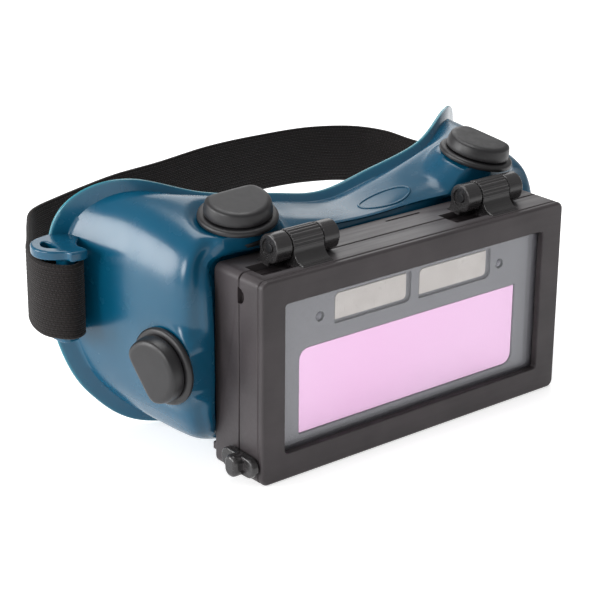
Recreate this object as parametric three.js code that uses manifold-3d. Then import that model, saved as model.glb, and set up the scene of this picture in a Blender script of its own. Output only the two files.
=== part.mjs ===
// Welding goggles: a soft moulded face mask, a lens holder whose front frame flips up on two hinges,
// an auto-darkening filter cartridge, four capped vents and an elastic head strap.
// Millimetres. X runs across the face, -Y is the front, +Z is up. The holder stands on z = 0.
// Until the last lines every y is measured from the front face of the lens holder.
import * as THREE from 'three';
import { mergeVertices } from 'three/addons/utils/BufferGeometryUtils.js';
import Module from 'manifold-3d';

const wasm = await Module();
wasm.setup();

// Lens holder
const HOLDER_WIDTH = 122;
const HOLDER_HEIGHT = 64;
const FRONT_DEPTH = 11;
const REAR_START = 11.3;
const REAR_END = 23;
const REAR_WALL = 2.5;
const CORNER_RADIUS = 2.2;
const EDGE_BEVEL = 0.7;
const OPENING_WIDTH = 104.8;
const OPENING_HEIGHT = 47.2;
const OPENING_MID_Z = 32.1;
const FRONT_WALL = 2.2;
const FRONT_POCKET_WIDTH = 110.4;
const FRONT_POCKET_HEIGHT = 53;
const REAR_POCKET_WIDTH = 110.4;
const REAR_POCKET_HEIGHT = 53;
const SIGHT_WIDTH = 100;
const SIGHT_HEIGHT = 40;
const SPIGOT_WIDTH = 106.6;
const SPIGOT_HEIGHT = 46.6;
const SPIGOT_END = 29.6;
const RETAINER_WIDTH = 114;
const RETAINER_HEIGHT = 49.6;

// Small clips at the back of the holder's lower corners
const CLIP_MID_X = 57.8;
const CLIP_WIDTH = 3;
const CLIP_LOW = 2.6;
const CLIP_HIGH = 5.2;
const CLIP_BACK = 26.3;

// Filter cartridge, a standard 108 x 51 mm size
const CASE_WIDTH = 108;
const CASE_HEIGHT = 51;
const CASE_FRONT = 3.5;
const CASE_BACK = 9;
const WINDOW_WIDTH = 88.6;
const WINDOW_HEIGHT = 27.1;
const WINDOW_MID_Z = 25;
const CELL_WIDTH = 28.2;
const CELL_HEIGHT = 8.2;
const CELL_MID_X = 16.8;
const CELL_MID_Z = 48.9;
const SENSOR_X = 36.8;
const SENSOR_Z = 47.3;
const SENSOR_RADIUS = 1.3;
const CIRCUIT_WIDTH = 90;
const CIRCUIT_HEIGHT = 9.6;
const CIRCUIT_FRONT = 5.6;
const CIRCUIT_BACK = 7.2;
const CIRCUIT_MID_Z = CELL_MID_Z - 0.6;
const GAP = 0.3;

// Sheets and rings held in the holder: width, height, front y, back y
const COVER_LENS = [109.6, 52, 2.4, 3.3];
const FILTER_RETAINER = [109.4, 52.2, 9.3, 10.7];
const LENS_RETAINER = [109, 52, 13.8, 17.1];
const INNER_LENS = [106, 46, 17.4, 18.6];
const GASKET = [108, 48, 18.9, 20.2];
const RETAINER_OPENING = [98, 41];

// Flip hinge
const HINGE_Y = 11.6;
const HINGE_Z = 69;
const KNUCKLE_RADIUS = 4.3;
const HINGE_INNER_X = 26.2;
const HINGE_OUTER_X = 49.8;
const KNUCKLE_WIDTH = 5.8;
const PIN_RADIUS = 1.5;
const PIN_HOLE_RADIUS = 1.8;
const PIN_HEAD_RADIUS = 2.3;
const FLUTES = 22;

// Face mask
const SHELL = 2.4;
const WALL_FRONT = 24.6;
const RING_STEPS = 3;
const LOFT_STEPS = 2;
const FLANGE_Y = 49.2;
const FLANGE_FLAT = 29.5;
const FLANGE_CURVE = 0.00915;

// Vents
const VENT_RIM_RADIUS = 12.1;
const VENT_HOLE_RADIUS = 8.6;
const VENT_NECK_RADIUS = 8.2;
const VENT_BORE_RADIUS = 6.8;
const VENT_BOSS_RADIUS = 11.4;
const VENT_BARB_RADIUS = 9.8;
const VENT_BARB_BACK = -4.6;
const VENT_RIM_TOP = 2.3;
const VENT_HOOD_RADIUS = 10.5;
const VENT_HOOD_HEIGHT = 5.2;
const VENT_CHORD = 6.4;
const VENT_TOP_SLOPE = 0.05;

// Head strap
const STRAP_THICK = 1.6;
const STRAP_LOW = 35.5;
const STRAP_HIGH = 59;
const RIBBON_STEPS = 3;
const KEEPER_THICK = 6.4;
const KEEPER_LENGTH = 6;
const KEEPER_TURN = 0.39;
const KEEPER_AT = [87.3, 87.8, 46];
const TOTAL_DEPTH = 131;

// Side latch
const LATCH_Y = 13;
const LATCH_Z = 5.8;
const LATCH_REAR_RADIUS = 3.4;
const LATCH_FRONT_RADIUS = 3.1;
const LATCH_REACH = 9.1;
const LATCH_FLAG_THICK = 2.6;
const LATCH_LOBE_Y = 8.2;
const LATCH_LOBE_THICK = 5.7;
const LATCH_PIVOT_RADIUS = 1.3;

// Strap lugs
const LUG_LOW = 33.2;
const LUG_HIGH = 63.2;
const UPPER_LUG_PLATE = 3;
const LOWER_LUG_PLATE = 1.8;
const LUG_OVERLAP = 0.4;

const group = new THREE.Group();

const finishes = {
  softTeal: { color: 0x3f7f9a, roughness: 0.35, metalness: 0 },
  blackPlastic: { color: 0x3a383a, roughness: 0.45, metalness: 0 },
  greyPlastic: { color: 0x77797e, roughness: 0.5, metalness: 0 },
  blackRubber: { color: 0x2f2d2f, roughness: 0.7, metalness: 0 },
  clear: { color: 0xe6eef0, roughness: 0.05, metalness: 0 },
  filterPink: { color: 0xe9b4df, roughness: 0.08, metalness: 0.2 },
  solarCell: { color: 0xc9c2b8, roughness: 0.3, metalness: 0 },
  sensor: { color: 0x3d3b44, roughness: 0.2, metalness: 0 },
  circuit: { color: 0x1f5a38, roughness: 0.5, metalness: 0 },
  steel: { color: 0x9b9ca0, roughness: 0.35, metalness: 1 },
  webbing: { color: 0x2c2524, roughness: 0.9, metalness: 0 }
};

function addNode(name, geometry, finish) {
  const mesh = new THREE.Mesh(geometry, new THREE.MeshStandardMaterial(finishes[finish]));
  mesh.name = name;
  group.add(mesh);
  return mesh;
}

// ---- solids -------------------------------------------------------------------------------------

function toSolid(geometry) {
  const bare = geometry.clone();
  bare.deleteAttribute('normal');
  bare.deleteAttribute('uv');
  const merged = mergeVertices(bare, 1e-4);
  return new wasm.Manifold(new wasm.Mesh({
    numProp: 3,
    vertProperties: new Float32Array(merged.attributes.position.array),
    triVerts: new Uint32Array(merged.index.array)
  }));
}

function toGeometry(solid) {
  const mesh = solid.getMesh();
  const geometry = new THREE.BufferGeometry();
  geometry.setAttribute('position', new THREE.BufferAttribute(new Float32Array(mesh.vertProperties), 3));
  geometry.setIndex(new THREE.BufferAttribute(new Uint32Array(mesh.triVerts), 1));
  geometry.computeVertexNormals();
  return geometry;
}

function join(...geometries) {
  return toGeometry(geometries.map(toSolid).reduce((whole, piece) => whole.add(piece)));
}

function cut(geometry, ...cutters) {
  return toGeometry(cutters.map(toSolid).reduce((whole, piece) => whole.subtract(piece), toSolid(geometry)));
}

function block(low, high) {
  const geometry = new THREE.BoxGeometry(high[0] - low[0], high[1] - low[1], high[2] - low[2]);
  return geometry.translate((low[0] + high[0]) / 2, (low[1] + high[1]) / 2, (low[2] + high[2]) / 2);
}

function roundedRectangle(width, height, radius) {
  const x = width / 2 - radius;
  const y = height / 2 - radius;
  const shape = new THREE.Shape();
  shape.absarc(x, y, radius, 0, Math.PI / 2);
  shape.absarc(-x, y, radius, Math.PI / 2, Math.PI);
  shape.absarc(-x, -y, radius, Math.PI, 1.5 * Math.PI);
  shape.absarc(x, -y, radius, 1.5 * Math.PI, 2 * Math.PI);
  return shape;
}

function extrude(shape, length, bevel) {
  return new THREE.ExtrudeGeometry(shape, {
    depth: length - 2 * bevel,
    bevelEnabled: bevel > 0,
    bevelSize: bevel,
    bevelThickness: bevel,
    bevelOffset: -bevel,
    bevelSegments: 1,
    curveSegments: 4
  }).translate(0, 0, bevel);
}

// A plate facing front: its outline lies in XZ round (midX, midZ), from y = front to y = back.
function plate(width, height, radius, midX, midZ, front, back, bevel = 0) {
  const geometry = extrude(roundedRectangle(width, height, radius), back - front, bevel);
  return geometry.rotateX(Math.PI / 2).translate(midX, back, midZ);
}

function frameRing(width, height, inner, radius, midZ, front, back) {
  return cut(
    plate(width, height, radius, 0, midZ, front, back),
    plate(inner[0], inner[1], radius, 0, midZ, front - 1, back + 1)
  );
}

function sheet([width, height, front, back], radius) {
  return plate(width, height, radius, 0, OPENING_MID_Z, front, back);
}

function sheetRing([width, height, front, back], inner, radius) {
  return frameRing(width, height, inner, radius, OPENING_MID_Z, front, back);
}

// A profile drawn in (y, z) and extruded is turned so that the extrusion runs along X.
function alongX(geometry) {
  return geometry.applyMatrix4(new THREE.Matrix4().makeBasis(
    new THREE.Vector3(0, 1, 0), new THREE.Vector3(0, 0, 1), new THREE.Vector3(1, 0, 0)
  ));
}

function rodX(radius, fromX, toX, y, z, sides = 20) {
  const geometry = new THREE.CylinderGeometry(radius, radius, toX - fromX, sides);
  return geometry.rotateZ(Math.PI / 2).translate((fromX + toX) / 2, y, z);
}

// ---- lens holder --------------------------------------------------------------------------------

// Side profile of a hinge leaf in (y, z), as a solid between two x values.
function leaf(points, fromX, toX, curved) {
  const shape = new THREE.Shape();
  shape.moveTo(...points[0]);
  if (curved) shape.splineThru(points.slice(1).map(([y, z]) => new THREE.Vector2(y, z)));
  else points.slice(1).forEach((point) => shape.lineTo(...point));
  const geometry = new THREE.ExtrudeGeometry(shape, {
    depth: toX - fromX, bevelEnabled: false, curveSegments: 14
  });
  return alongX(geometry).translate(fromX, 0, 0);
}

function flutedKnuckle(fromX, toX) {
  const shape = new THREE.Shape();
  for (let i = 0; i <= FLUTES * 2; i += 1) {
    const angle = (i / (FLUTES * 2)) * 2 * Math.PI;
    const radius = KNUCKLE_RADIUS + (i % 2 === 0 ? 0.25 : -0.1);
    const point = [radius * Math.cos(angle), radius * Math.sin(angle)];
    if (i === 0) shape.moveTo(...point);
    else shape.lineTo(...point);
  }
  const geometry = new THREE.ExtrudeGeometry(shape, { depth: toX - fromX, bevelEnabled: false });
  return geometry.rotateY(Math.PI / 2).translate(fromX, HINGE_Y, HINGE_Z);
}

// Both ends of each hinge, as [low x, high x] pairs.
const hingeSpans = [
  [-HINGE_OUTER_X, -HINGE_INNER_X],
  [HINGE_INNER_X, HINGE_OUTER_X]
];

function buildFrontFrame() {
  const shell = cut(
    plate(HOLDER_WIDTH, HOLDER_HEIGHT, CORNER_RADIUS, 0, HOLDER_HEIGHT / 2, 0, FRONT_DEPTH, EDGE_BEVEL),
    plate(FRONT_POCKET_WIDTH, FRONT_POCKET_HEIGHT, 1.5, 0, OPENING_MID_Z, FRONT_WALL, FRONT_DEPTH + 1),
    plate(OPENING_WIDTH, OPENING_HEIGHT, 1, 0, OPENING_MID_Z, -1, FRONT_DEPTH)
  );
  const pieces = [shell];
  for (const [low, high] of hingeSpans) {
    const from = low + KNUCKLE_WIDTH + GAP;
    const to = high - KNUCKLE_WIDTH - GAP;
    pieces.push(flutedKnuckle(from, to));
    pieces.push(leaf([
      [3.2, HOLDER_HEIGHT - 1.5],
      [5.4, HOLDER_HEIGHT + 1.4],
      [7.6, HINGE_Z + 1.2],
      [11.2, HINGE_Z - 0.6],
      [10.2, HOLDER_HEIGHT + 0.6],
      [8.6, HOLDER_HEIGHT - 1.5],
      [3.2, HOLDER_HEIGHT - 1.5]
    ], from + 0.6, to - 0.6, true));
  }
  const bores = hingeSpans.map(([low, high]) => rodX(PIN_HOLE_RADIUS, low - 1, high + 1, HINGE_Y, HINGE_Z));
  return cut(join(...pieces), ...bores);
}

function buildRearFrame() {
  const shell = cut(
    plate(HOLDER_WIDTH, HOLDER_HEIGHT, CORNER_RADIUS, 0, HOLDER_HEIGHT / 2, REAR_START, REAR_END, EDGE_BEVEL),
    plate(REAR_POCKET_WIDTH, REAR_POCKET_HEIGHT, 1.5, 0, OPENING_MID_Z, REAR_START - 1, REAR_END - REAR_WALL)
  );
  const spigot = plate(SPIGOT_WIDTH, SPIGOT_HEIGHT, 5, 0, OPENING_MID_Z, REAR_END - 1, SPIGOT_END);
  const pieces = [shell, spigot];
  for (const [low, high] of hingeSpans) {
    for (const from of [low, high - KNUCKLE_WIDTH]) {
      pieces.push(rodX(KNUCKLE_RADIUS, from, from + KNUCKLE_WIDTH, HINGE_Y, HINGE_Z));
      pieces.push(leaf([
        [REAR_START + 0.4, HOLDER_HEIGHT - 1.2],
        [REAR_START + 0.3, HOLDER_HEIGHT + 0.4],
        [HINGE_Y - 2.6, HINGE_Z - 3],
        [HINGE_Y, HINGE_Z + 1],
        [HINGE_Y + 3.8, HINGE_Z - 0.6],
        [HINGE_Y + 5, HOLDER_HEIGHT - 1.2]
      ], from + 0.3, from + KNUCKLE_WIDTH - 0.3, false));
    }
  }
  for (const side of [-1, 1]) {
    pieces.push(block(
      [side * CLIP_MID_X - CLIP_WIDTH / 2, REAR_END - 0.5, CLIP_LOW],
      [side * CLIP_MID_X + CLIP_WIDTH / 2, CLIP_BACK, CLIP_HIGH]
    ));
  }
  const bores = hingeSpans.map(([low, high]) => rodX(PIN_HOLE_RADIUS, low - 1, high + 1, HINGE_Y, HINGE_Z));
  const sight = plate(SIGHT_WIDTH, SIGHT_HEIGHT, 3, 0, OPENING_MID_Z, REAR_START, SPIGOT_END + 1);
  const side = -HOLDER_WIDTH / 2;
  const latchBore = rodX(LATCH_PIVOT_RADIUS + GAP, side - 1, side + 5, LATCH_Y, LATCH_Z);
  return cut(join(...pieces), sight, latchBore, ...bores);
}

// The pin is headed at its outer end and stays still in the rear knuckles.
function buildHingePin(low, high) {
  const left = low < 0;
  const headX = left ? low - 0.9 : high + 0.1;
  return join(
    rodX(PIN_RADIUS, low - 0.5, high + 0.5, HINGE_Y, HINGE_Z),
    rodX(PIN_HEAD_RADIUS, headX, headX + 0.8, HINGE_Y, HINGE_Z)
  );
}

// ---- side latch ---------------------------------------------------------------------------------

function buildLatch() {
  const x = -HOLDER_WIDTH / 2 - GAP;
  const arm = new THREE.Shape();
  arm.absarc(LATCH_Y, LATCH_Z, LATCH_REAR_RADIUS, -Math.PI / 2, Math.PI / 2, false);
  arm.absarc(LATCH_Y - LATCH_REACH, LATCH_Z, LATCH_FRONT_RADIUS, Math.PI / 2, 1.5 * Math.PI);
  const flag = alongX(extrude(arm, LATCH_FLAG_THICK, 0.4)).translate(x - LATCH_FLAG_THICK, 0, 0);
  const lobe = alongX(extrude(roundedRectangle(5.4, 7, 2.6), LATCH_LOBE_THICK, 0.6));
  return join(
    flag,
    lobe.translate(x - LATCH_LOBE_THICK, LATCH_LOBE_Y, LATCH_Z),
    rodX(LATCH_PIVOT_RADIUS, x - 1, x + 4, LATCH_Y, LATCH_Z, 16)
  );
}

// ---- filter cartridge ---------------------------------------------------------------------------

const cellSides = [-1, 1];

function buildFilterCase() {
  const body = plate(CASE_WIDTH, CASE_HEIGHT, 2, 0, OPENING_MID_Z, CASE_FRONT, CASE_BACK, 0.3);
  const window = plate(WINDOW_WIDTH, WINDOW_HEIGHT, 2.6, 0, WINDOW_MID_Z, CASE_FRONT - 1, CASE_BACK + 1);
  const circuitBay = plate(
    CIRCUIT_WIDTH + 2, CIRCUIT_HEIGHT + 1.4, 1, 0, CIRCUIT_MID_Z, CIRCUIT_FRONT - 0.9, CIRCUIT_BACK + 0.6
  );
  const cutters = [window, circuitBay];
  for (const side of cellSides) {
    cutters.push(plate(
      CELL_WIDTH + 0.6, CELL_HEIGHT + 0.6, 1.3, side * CELL_MID_X, CELL_MID_Z, CASE_FRONT - 1, 4.8
    ));
    cutters.push(plate(
      2 * SENSOR_RADIUS + 0.6, 2 * SENSOR_RADIUS + 0.6, SENSOR_RADIUS, side * SENSOR_X, SENSOR_Z,
      CASE_FRONT - 1, 4.8
    ));
  }
  return cut(body, ...cutters);
}

function buildFilter() {
  addNode('filter_case', buildFilterCase(), 'greyPlastic');
  addNode('filter_glass', plate(
    WINDOW_WIDTH - 0.6, WINDOW_HEIGHT - 0.6, 2.4, 0, WINDOW_MID_Z, 4, 5.6
  ), 'filterPink');
  addNode('filter_rear_glass', plate(
    WINDOW_WIDTH - 0.6, WINDOW_HEIGHT - 0.6, 2.4, 0, WINDOW_MID_Z, 5.9, CASE_BACK - 0.3
  ), 'clear');
  addNode('control_circuit', plate(
    CIRCUIT_WIDTH, CIRCUIT_HEIGHT, 0.8, 0, CIRCUIT_MID_Z, CIRCUIT_FRONT, CIRCUIT_BACK
  ), 'circuit');
  for (const side of cellSides) {
    const label = side < 0 ? 'left' : 'right';
    addNode(`solar_cell_${label}`, plate(
      CELL_WIDTH, CELL_HEIGHT, 1.2, side * CELL_MID_X, CELL_MID_Z, 3.8, 4.6
    ), 'solarCell');
    const sensor = new THREE.CylinderGeometry(SENSOR_RADIUS, SENSOR_RADIUS, 1.1, 16);
    addNode(`light_sensor_${label}`, sensor.translate(side * SENSOR_X, 4.2, SENSOR_Z), 'sensor');
  }
}

// ---- face mask ----------------------------------------------------------------------------------

function flangeY(x) {
  return FLANGE_Y + FLANGE_CURVE * Math.max(0, Math.abs(x) - FLANGE_FLAT) ** 2;
}

// Each half ring goes from the top centre, round the +X side, to the bottom centre: [x, z] pairs.
const openingHalf = [
  [0, 57], [20, 57], [42, 57], [50, 56.4], [53.4, 53.4], [54, 47],
  [54, 39], [54, 24], [53, 12], [49, 8.6], [30, 8], [0, 8]
];
const collarRootHalf = [
  [0, 63.5], [22, 63.9], [44, 64.4], [53.4, 64.4], [60, 62.4], [62, 56],
  [62.2, 45], [62, 29], [60.6, 16], [54.5, 7], [30, 4.6], [0, 5]
];
const collarInnerHalf = [
  [0, 64.6], [22, 65.2], [45, 66.2], [55.6, 65.9], [61.7, 63.6], [63, 56],
  [63.2, 45], [63, 29], [62, 15.5], [56, 7.4], [30.5, 3.2], [0, 3.8]
];
const collarOuterHalf = [
  [0, 65.6], [22, 66.4], [46.5, 68.6], [57.6, 68.2], [64.2, 64.8], [66.4, 57],
  [66.8, 45], [66.6, 29], [65, 14.8], [58, 6.2], [31, 1.8], [0, 2.6]
];
const frontBodyHalf = [
  [0, 65.8], [21, 68], [46, 73.6], [59.2, 73.6], [67.5, 68.9], [71.9, 59.4],
  [73, 45], [72, 28.4], [69, 13.2], [60.2, 5], [32, 2.2], [0, 4]
];
const rearBodyHalf = [
  [0, 66], [20, 69], [45, 75.6], [60.5, 77], [70, 73], [75.6, 62],
  [77, 46], [75, 27.6], [69.9, 12.2], [60, 4.2], [32, 3], [0, 14]
];
const creaseHalf = [
  [0, 65], [20, 68.2], [43.5, 72.8], [62, 77.2], [72.4, 73.8], [78.8, 64.4],
  [80.4, 48], [78.4, 28.4], [72.2, 13.4], [60, 4.4], [33, 4.6], [0, 18.6]
];
const lipHalf = [
  [0, 67], [20, 70.3], [44, 74.8], [64, 80.6], [76, 77], [82.8, 66.5],
  [84.5, 48], [82.5, 27], [75.8, 10.8], [62, 1.2], [32, 2.6], [0, 21]
];
const collarY = [25.2, 25.2, 20, 21.5, 23.8, 21.6, 20.5, 20.5, 21.6, 25, 25.2, 25.2];
const frontBodyY = [30, 30, 30, 28, 26.4, 26, 26, 26, 27, 30, 31, 31];
const rearBodyY = [40, 41, 43, 46, 49, 51, 52, 51, 48, 44, 41, 40];

// A half ring and its mirror image as one closed list of points, with y from a rule or a list.
function mirrored(half, depth) {
  const right = half.map(([x, z], i) => new THREE.Vector3(x, depth(x, i), z));
  const left = right.slice(1, -1).reverse().map((p) => new THREE.Vector3(-p.x, p.y, p.z));
  return right.concat(left);
}

function smoothRing(points) {
  const curve = new THREE.CatmullRomCurve3(points, true, 'catmullrom', 0.5);
  return curve.getPoints(points.length * RING_STEPS).slice(0, -1);
}

// The same ring, moved inwards in XZ and back in y. The ring runs clockwise seen from the front.
function inset(ring, distance, backward) {
  return ring.map((point, i) => {
    const before = ring[(i + ring.length - 1) % ring.length];
    const after = ring[(i + 1) % ring.length];
    const along = new THREE.Vector2(after.x - before.x, after.z - before.z).normalize();
    return new THREE.Vector3(
      point.x + along.y * distance, point.y + backward, point.z - along.x * distance
    );
  });
}

function atDepth(ring, y) {
  return ring.map((point) => new THREE.Vector3(point.x, y, point.z));
}

// Rings between the ones given, on a smooth curve through each matching row of points.
function loftBetween(rings, steps) {
  const rows = rings[0].map((_, i) => new THREE.CatmullRomCurve3(
    rings.map((ring) => ring[i]), false, 'catmullrom', 0.5
  ));
  const count = (rings.length - 1) * steps;
  return Array.from({ length: count + 1 }, (_, t) => rows.map((row) => row.getPoint(t / count)));
}

// A closed skin over rings that wrap round in both directions, like the skin of a bent hoop.
function hoopSkin(rings) {
  const around = rings[0].length;
  const positions = rings.flat().flatMap((p) => [p.x, p.y, p.z]);
  const index = [];
  rings.forEach((_, r) => {
    const next = (r + 1) % rings.length;
    for (let i = 0; i < around; i += 1) {
      const j = (i + 1) % around;
      const a = r * around + i;
      const b = r * around + j;
      const c = next * around + j;
      const d = next * around + i;
      index.push(a, b, c, a, c, d);
    }
  });
  const geometry = new THREE.BufferGeometry();
  geometry.setAttribute('position', new THREE.Float32BufferAttribute(positions, 3));
  geometry.setIndex(index);
  return geometry;
}

function buildMaskShell() {
  const at = (list) => (x, i) => list[i];
  const opening = smoothRing(mirrored(openingHalf, () => WALL_FRONT));
  const collarRoot = smoothRing(mirrored(collarRootHalf, () => WALL_FRONT));
  const collarInner = smoothRing(mirrored(collarInnerHalf, (x, i) => collarY[i] - 0.3));
  const collarOuter = smoothRing(mirrored(collarOuterHalf, at(collarY)));
  const frontBody = smoothRing(mirrored(frontBodyHalf, at(frontBodyY)));
  const rearBody = smoothRing(mirrored(rearBodyHalf, at(rearBodyY)));
  const crease = smoothRing(mirrored(creaseHalf, (x) => flangeY(x * 1.05) - 3.4));
  const lip = smoothRing(mirrored(lipHalf, (x) => flangeY(x) - 0.8));
  const outside = loftBetween([collarOuter, frontBody, rearBody, crease], LOFT_STEPS);
  const lipBack = inset(lip, 0.5, 1.6);
  const inside = loftBetween([
    inset(crease, SHELL, 2.2),
    inset(rearBody, SHELL, 0.6),
    atDepth(inset(frontBody, SHELL, 0), WALL_FRONT + SHELL)
  ], LOFT_STEPS);
  const openingBack = atDepth(opening, WALL_FRONT + SHELL);
  return hoopSkin([opening, collarRoot, collarInner, ...outside, lip, lipBack, ...inside, openingBack]);
}

// ---- strap lugs, moulded onto the mask ----------------------------------------------------------

// The right lug: two plates over and under the strap, joined by the two bars it wraps. [x, y] pairs.
const upperLugOutline = [
  [76, 71], [80, 66], [82.4, 62], [82.4, 56.6], [87.8, 56.6], [88.6, 59],
  [92, 61.5], [94.2, 65], [94.2, 69], [92, 73], [88, 75], [81.5, 75.4]
];
const upperLugSlot = [[88.4, 63], [91, 65], [91.6, 67.5], [90.2, 70.2], [88.2, 70.2]];
const lowerLugOutline = [
  [76, 71], [80, 66], [83.4, 61.5], [88, 60.6], [89.4, 64], [89.4, 70], [88, 74.4], [81.5, 75.4]
];
const lugBars = [
  { x: [83.8, 88.2], y: [60.4, 65.6] },
  { x: [84, 89.6], y: [71.8, 74.6] }
];

function lugPlate(outline, holes, low, high) {
  const shape = new THREE.Shape(outline.map(([x, y]) => new THREE.Vector2(x, y)));
  for (const hole of holes) {
    shape.holes.push(new THREE.Path(hole.map(([x, y]) => new THREE.Vector2(x, y))));
  }
  return new THREE.ExtrudeGeometry(shape, { depth: high - low, bevelEnabled: false }).translate(0, 0, low);
}

function lugBar({ x, y }) {
  const low = LUG_LOW + LUG_OVERLAP;
  const geometry = extrude(roundedRectangle(x[1] - x[0], y[1] - y[0], 1), LUG_HIGH - LUG_OVERLAP - low, 0);
  return geometry.translate((x[0] + x[1]) / 2, (y[0] + y[1]) / 2, low);
}

function buildLug() {
  return join(
    lugPlate(lowerLugOutline, [], LUG_LOW, LUG_LOW + LOWER_LUG_PLATE),
    lugPlate(upperLugOutline, [upperLugSlot], LUG_HIGH - UPPER_LUG_PLATE, LUG_HIGH),
    ...lugBars.map(lugBar)
  );
}

function mirrorX(geometry) {
  const copy = geometry.clone().scale(-1, 1, 1);
  const index = copy.index.array;
  for (let i = 0; i < index.length; i += 3) {
    [index[i], index[i + 1]] = [index[i + 1], index[i]];
  }
  return copy;
}

// ---- vents --------------------------------------------------------------------------------------

// Each cap opens through its flat side, which looks along `faces`.
const vents = [
  { name: 'top_left', centre: [-48.6, 27.6, 73.4], normal: [-0.1, -0.16, 0.98], faces: [0.1, 1, 0.3] },
  { name: 'top_right', centre: [47.6, 27.4, 74.4], normal: [0.14, -0.2, 0.97], faces: [0.95, 0.3, 0] },
  { name: 'side_left', centre: [-73.6, 29.6, 32.8], normal: [-0.98, -0.14, -0.06], faces: [0, 0.83, -0.56] },
  { name: 'side_right', centre: [73.6, 29.6, 32.8], normal: [0.98, -0.14, -0.06], faces: [0, 0.83, -0.56] }
];

// Geometry built on +Z, with the cap's flat side at +X, is moved to its vent.
function placed(geometry, vent) {
  const up = new THREE.Vector3(...vent.normal).normalize();
  const faces = new THREE.Vector3(...vent.faces);
  const across = new THREE.Vector3().crossVectors(up, faces).normalize();
  const along = new THREE.Vector3().crossVectors(across, up);
  const turn = new THREE.Matrix4().makeBasis(along, across, up);
  return geometry.applyMatrix4(turn).translate(...vent.centre);
}

function disc(radius, from, to, sides = 24) {
  return new THREE.CylinderGeometry(radius, radius, to - from, sides)
    .rotateX(Math.PI / 2)
    .translate(0, 0, (from + to) / 2);
}

function buildVentBase(vent) {
  const profile = [
    [VENT_BORE_RADIUS, VENT_BARB_BACK], [VENT_BARB_RADIUS - 0.2, VENT_BARB_BACK],
    [VENT_BARB_RADIUS, -3.3], [VENT_NECK_RADIUS, -3.2],
    [VENT_NECK_RADIUS, GAP], [VENT_RIM_RADIUS - 0.4, GAP], [VENT_RIM_RADIUS, 0.9],
    [VENT_RIM_RADIUS - 0.3, 1.9], [VENT_RIM_RADIUS - 1.2, VENT_RIM_TOP],
    [VENT_BORE_RADIUS, VENT_RIM_TOP], [VENT_BORE_RADIUS, VENT_BARB_BACK]
  ].map(([r, z]) => new THREE.Vector2(r, z));
  return placed(new THREE.LatheGeometry(profile, 24).rotateX(Math.PI / 2), vent);
}

function hoodOutline(radius, chord) {
  const half = Math.acos(chord / radius);
  const shape = new THREE.Shape();
  shape.absarc(0, 0, radius, half, 2 * Math.PI - half);
  shape.closePath();
  return shape;
}

// A D-shaped cap, tallest along its flat side, with an air slot in that side.
function buildVentCap(vent) {
  const from = VENT_RIM_TOP + GAP;
  const outer = extrude(hoodOutline(VENT_HOOD_RADIUS, VENT_CHORD), VENT_HOOD_HEIGHT, 0.9)
    .translate(0, 0, from);
  const slope = block([-30, -30, 0], [30, 30, 20])
    .rotateY(-VENT_TOP_SLOPE)
    .translate(VENT_CHORD, 0, from + VENT_HOOD_HEIGHT - 0.2);
  const room = extrude(hoodOutline(VENT_HOOD_RADIUS - 1.6, VENT_CHORD - 1.6), 2.6, 0)
    .translate(0, 0, from - 0.5);
  const slot = block([VENT_CHORD - 3, -6, from - 0.5], [VENT_CHORD + 1, 6, from + 1.4]);
  return placed(cut(outer, slope, room, slot), vent);
}

function buildMask() {
  const bosses = vents.map((vent) => placed(disc(VENT_BOSS_RADIUS, -6, 0), vent));
  const lug = buildLug();
  const whole = join(buildMaskShell(), ...bosses, lug, mirrorX(lug));
  const cutters = vents.flatMap((vent) => [
    placed(disc(VENT_RIM_RADIUS + 0.4, 0, 9), vent),
    placed(disc(VENT_HOLE_RADIUS, -9, 1), vent),
    placed(disc(VENT_BARB_RADIUS + 0.4, -9, -2.8), vent)
  ]);
  cutters.push(plate(
    SPIGOT_WIDTH + 2 * GAP, SPIGOT_HEIGHT + 2 * GAP, 5, 0, OPENING_MID_Z, REAR_END, SPIGOT_END + 1
  ));
  cutters.push(plate(
    RETAINER_WIDTH + 2 * GAP, RETAINER_HEIGHT + 2 * GAP, 5, 0, OPENING_MID_Z, WALL_FRONT + SHELL, SPIGOT_END
  ));
  cutters.push(plate(
    HOLDER_WIDTH + 2 * GAP, HOLDER_HEIGHT + 2 * GAP, CORNER_RADIUS, 0, HOLDER_HEIGHT / 2, 0, REAR_END + GAP
  ));
  return cut(whole, ...cutters);
}

// ---- head strap ---------------------------------------------------------------------------------

// The strap's middle line, seen from above, from the end sewn inside the left lug to the right one.
const lugTurn = [
  [90.2, 69], [86, 68.8], [82.6, 66.4], [81.9, 62.4], [83.4, 58.9], [87.2, 57.6], [90.6, 60.4], [92.6, 65]
];
// [x, y, lift of the lower edge, inward lean of the upper edge]
const headBand = [
  [-92.6, 70.5, 0.3, 0], [-90.2, 77.5, 0.6, 0], [-84.8, 86, 0.7, 0], [-77.4, 98, 0.7, 0],
  [-71.6, 106.6, 0.7, 0.2], [-67, 110, 0.8, 0.5], [-58.4, 113.6, 1, 1], [-46, 118, 1.2, 1.4],
  [-29.4, 122.8, 1.3, 1.5], [-9.9, 126.4, 1.4, 2.5], [13, 129.4, 2.9, 4], [35, 130, 3.6, 5.5],
  [57, 126.5, 4, 6], [73.5, 118, 3.6, 6], [81, 106.5, 1.6, 3], [84.6, 95, -1, 0.6],
  [89.8, 81, -1, 0], [93.4, 70.5, 0, 0]
];

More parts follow.
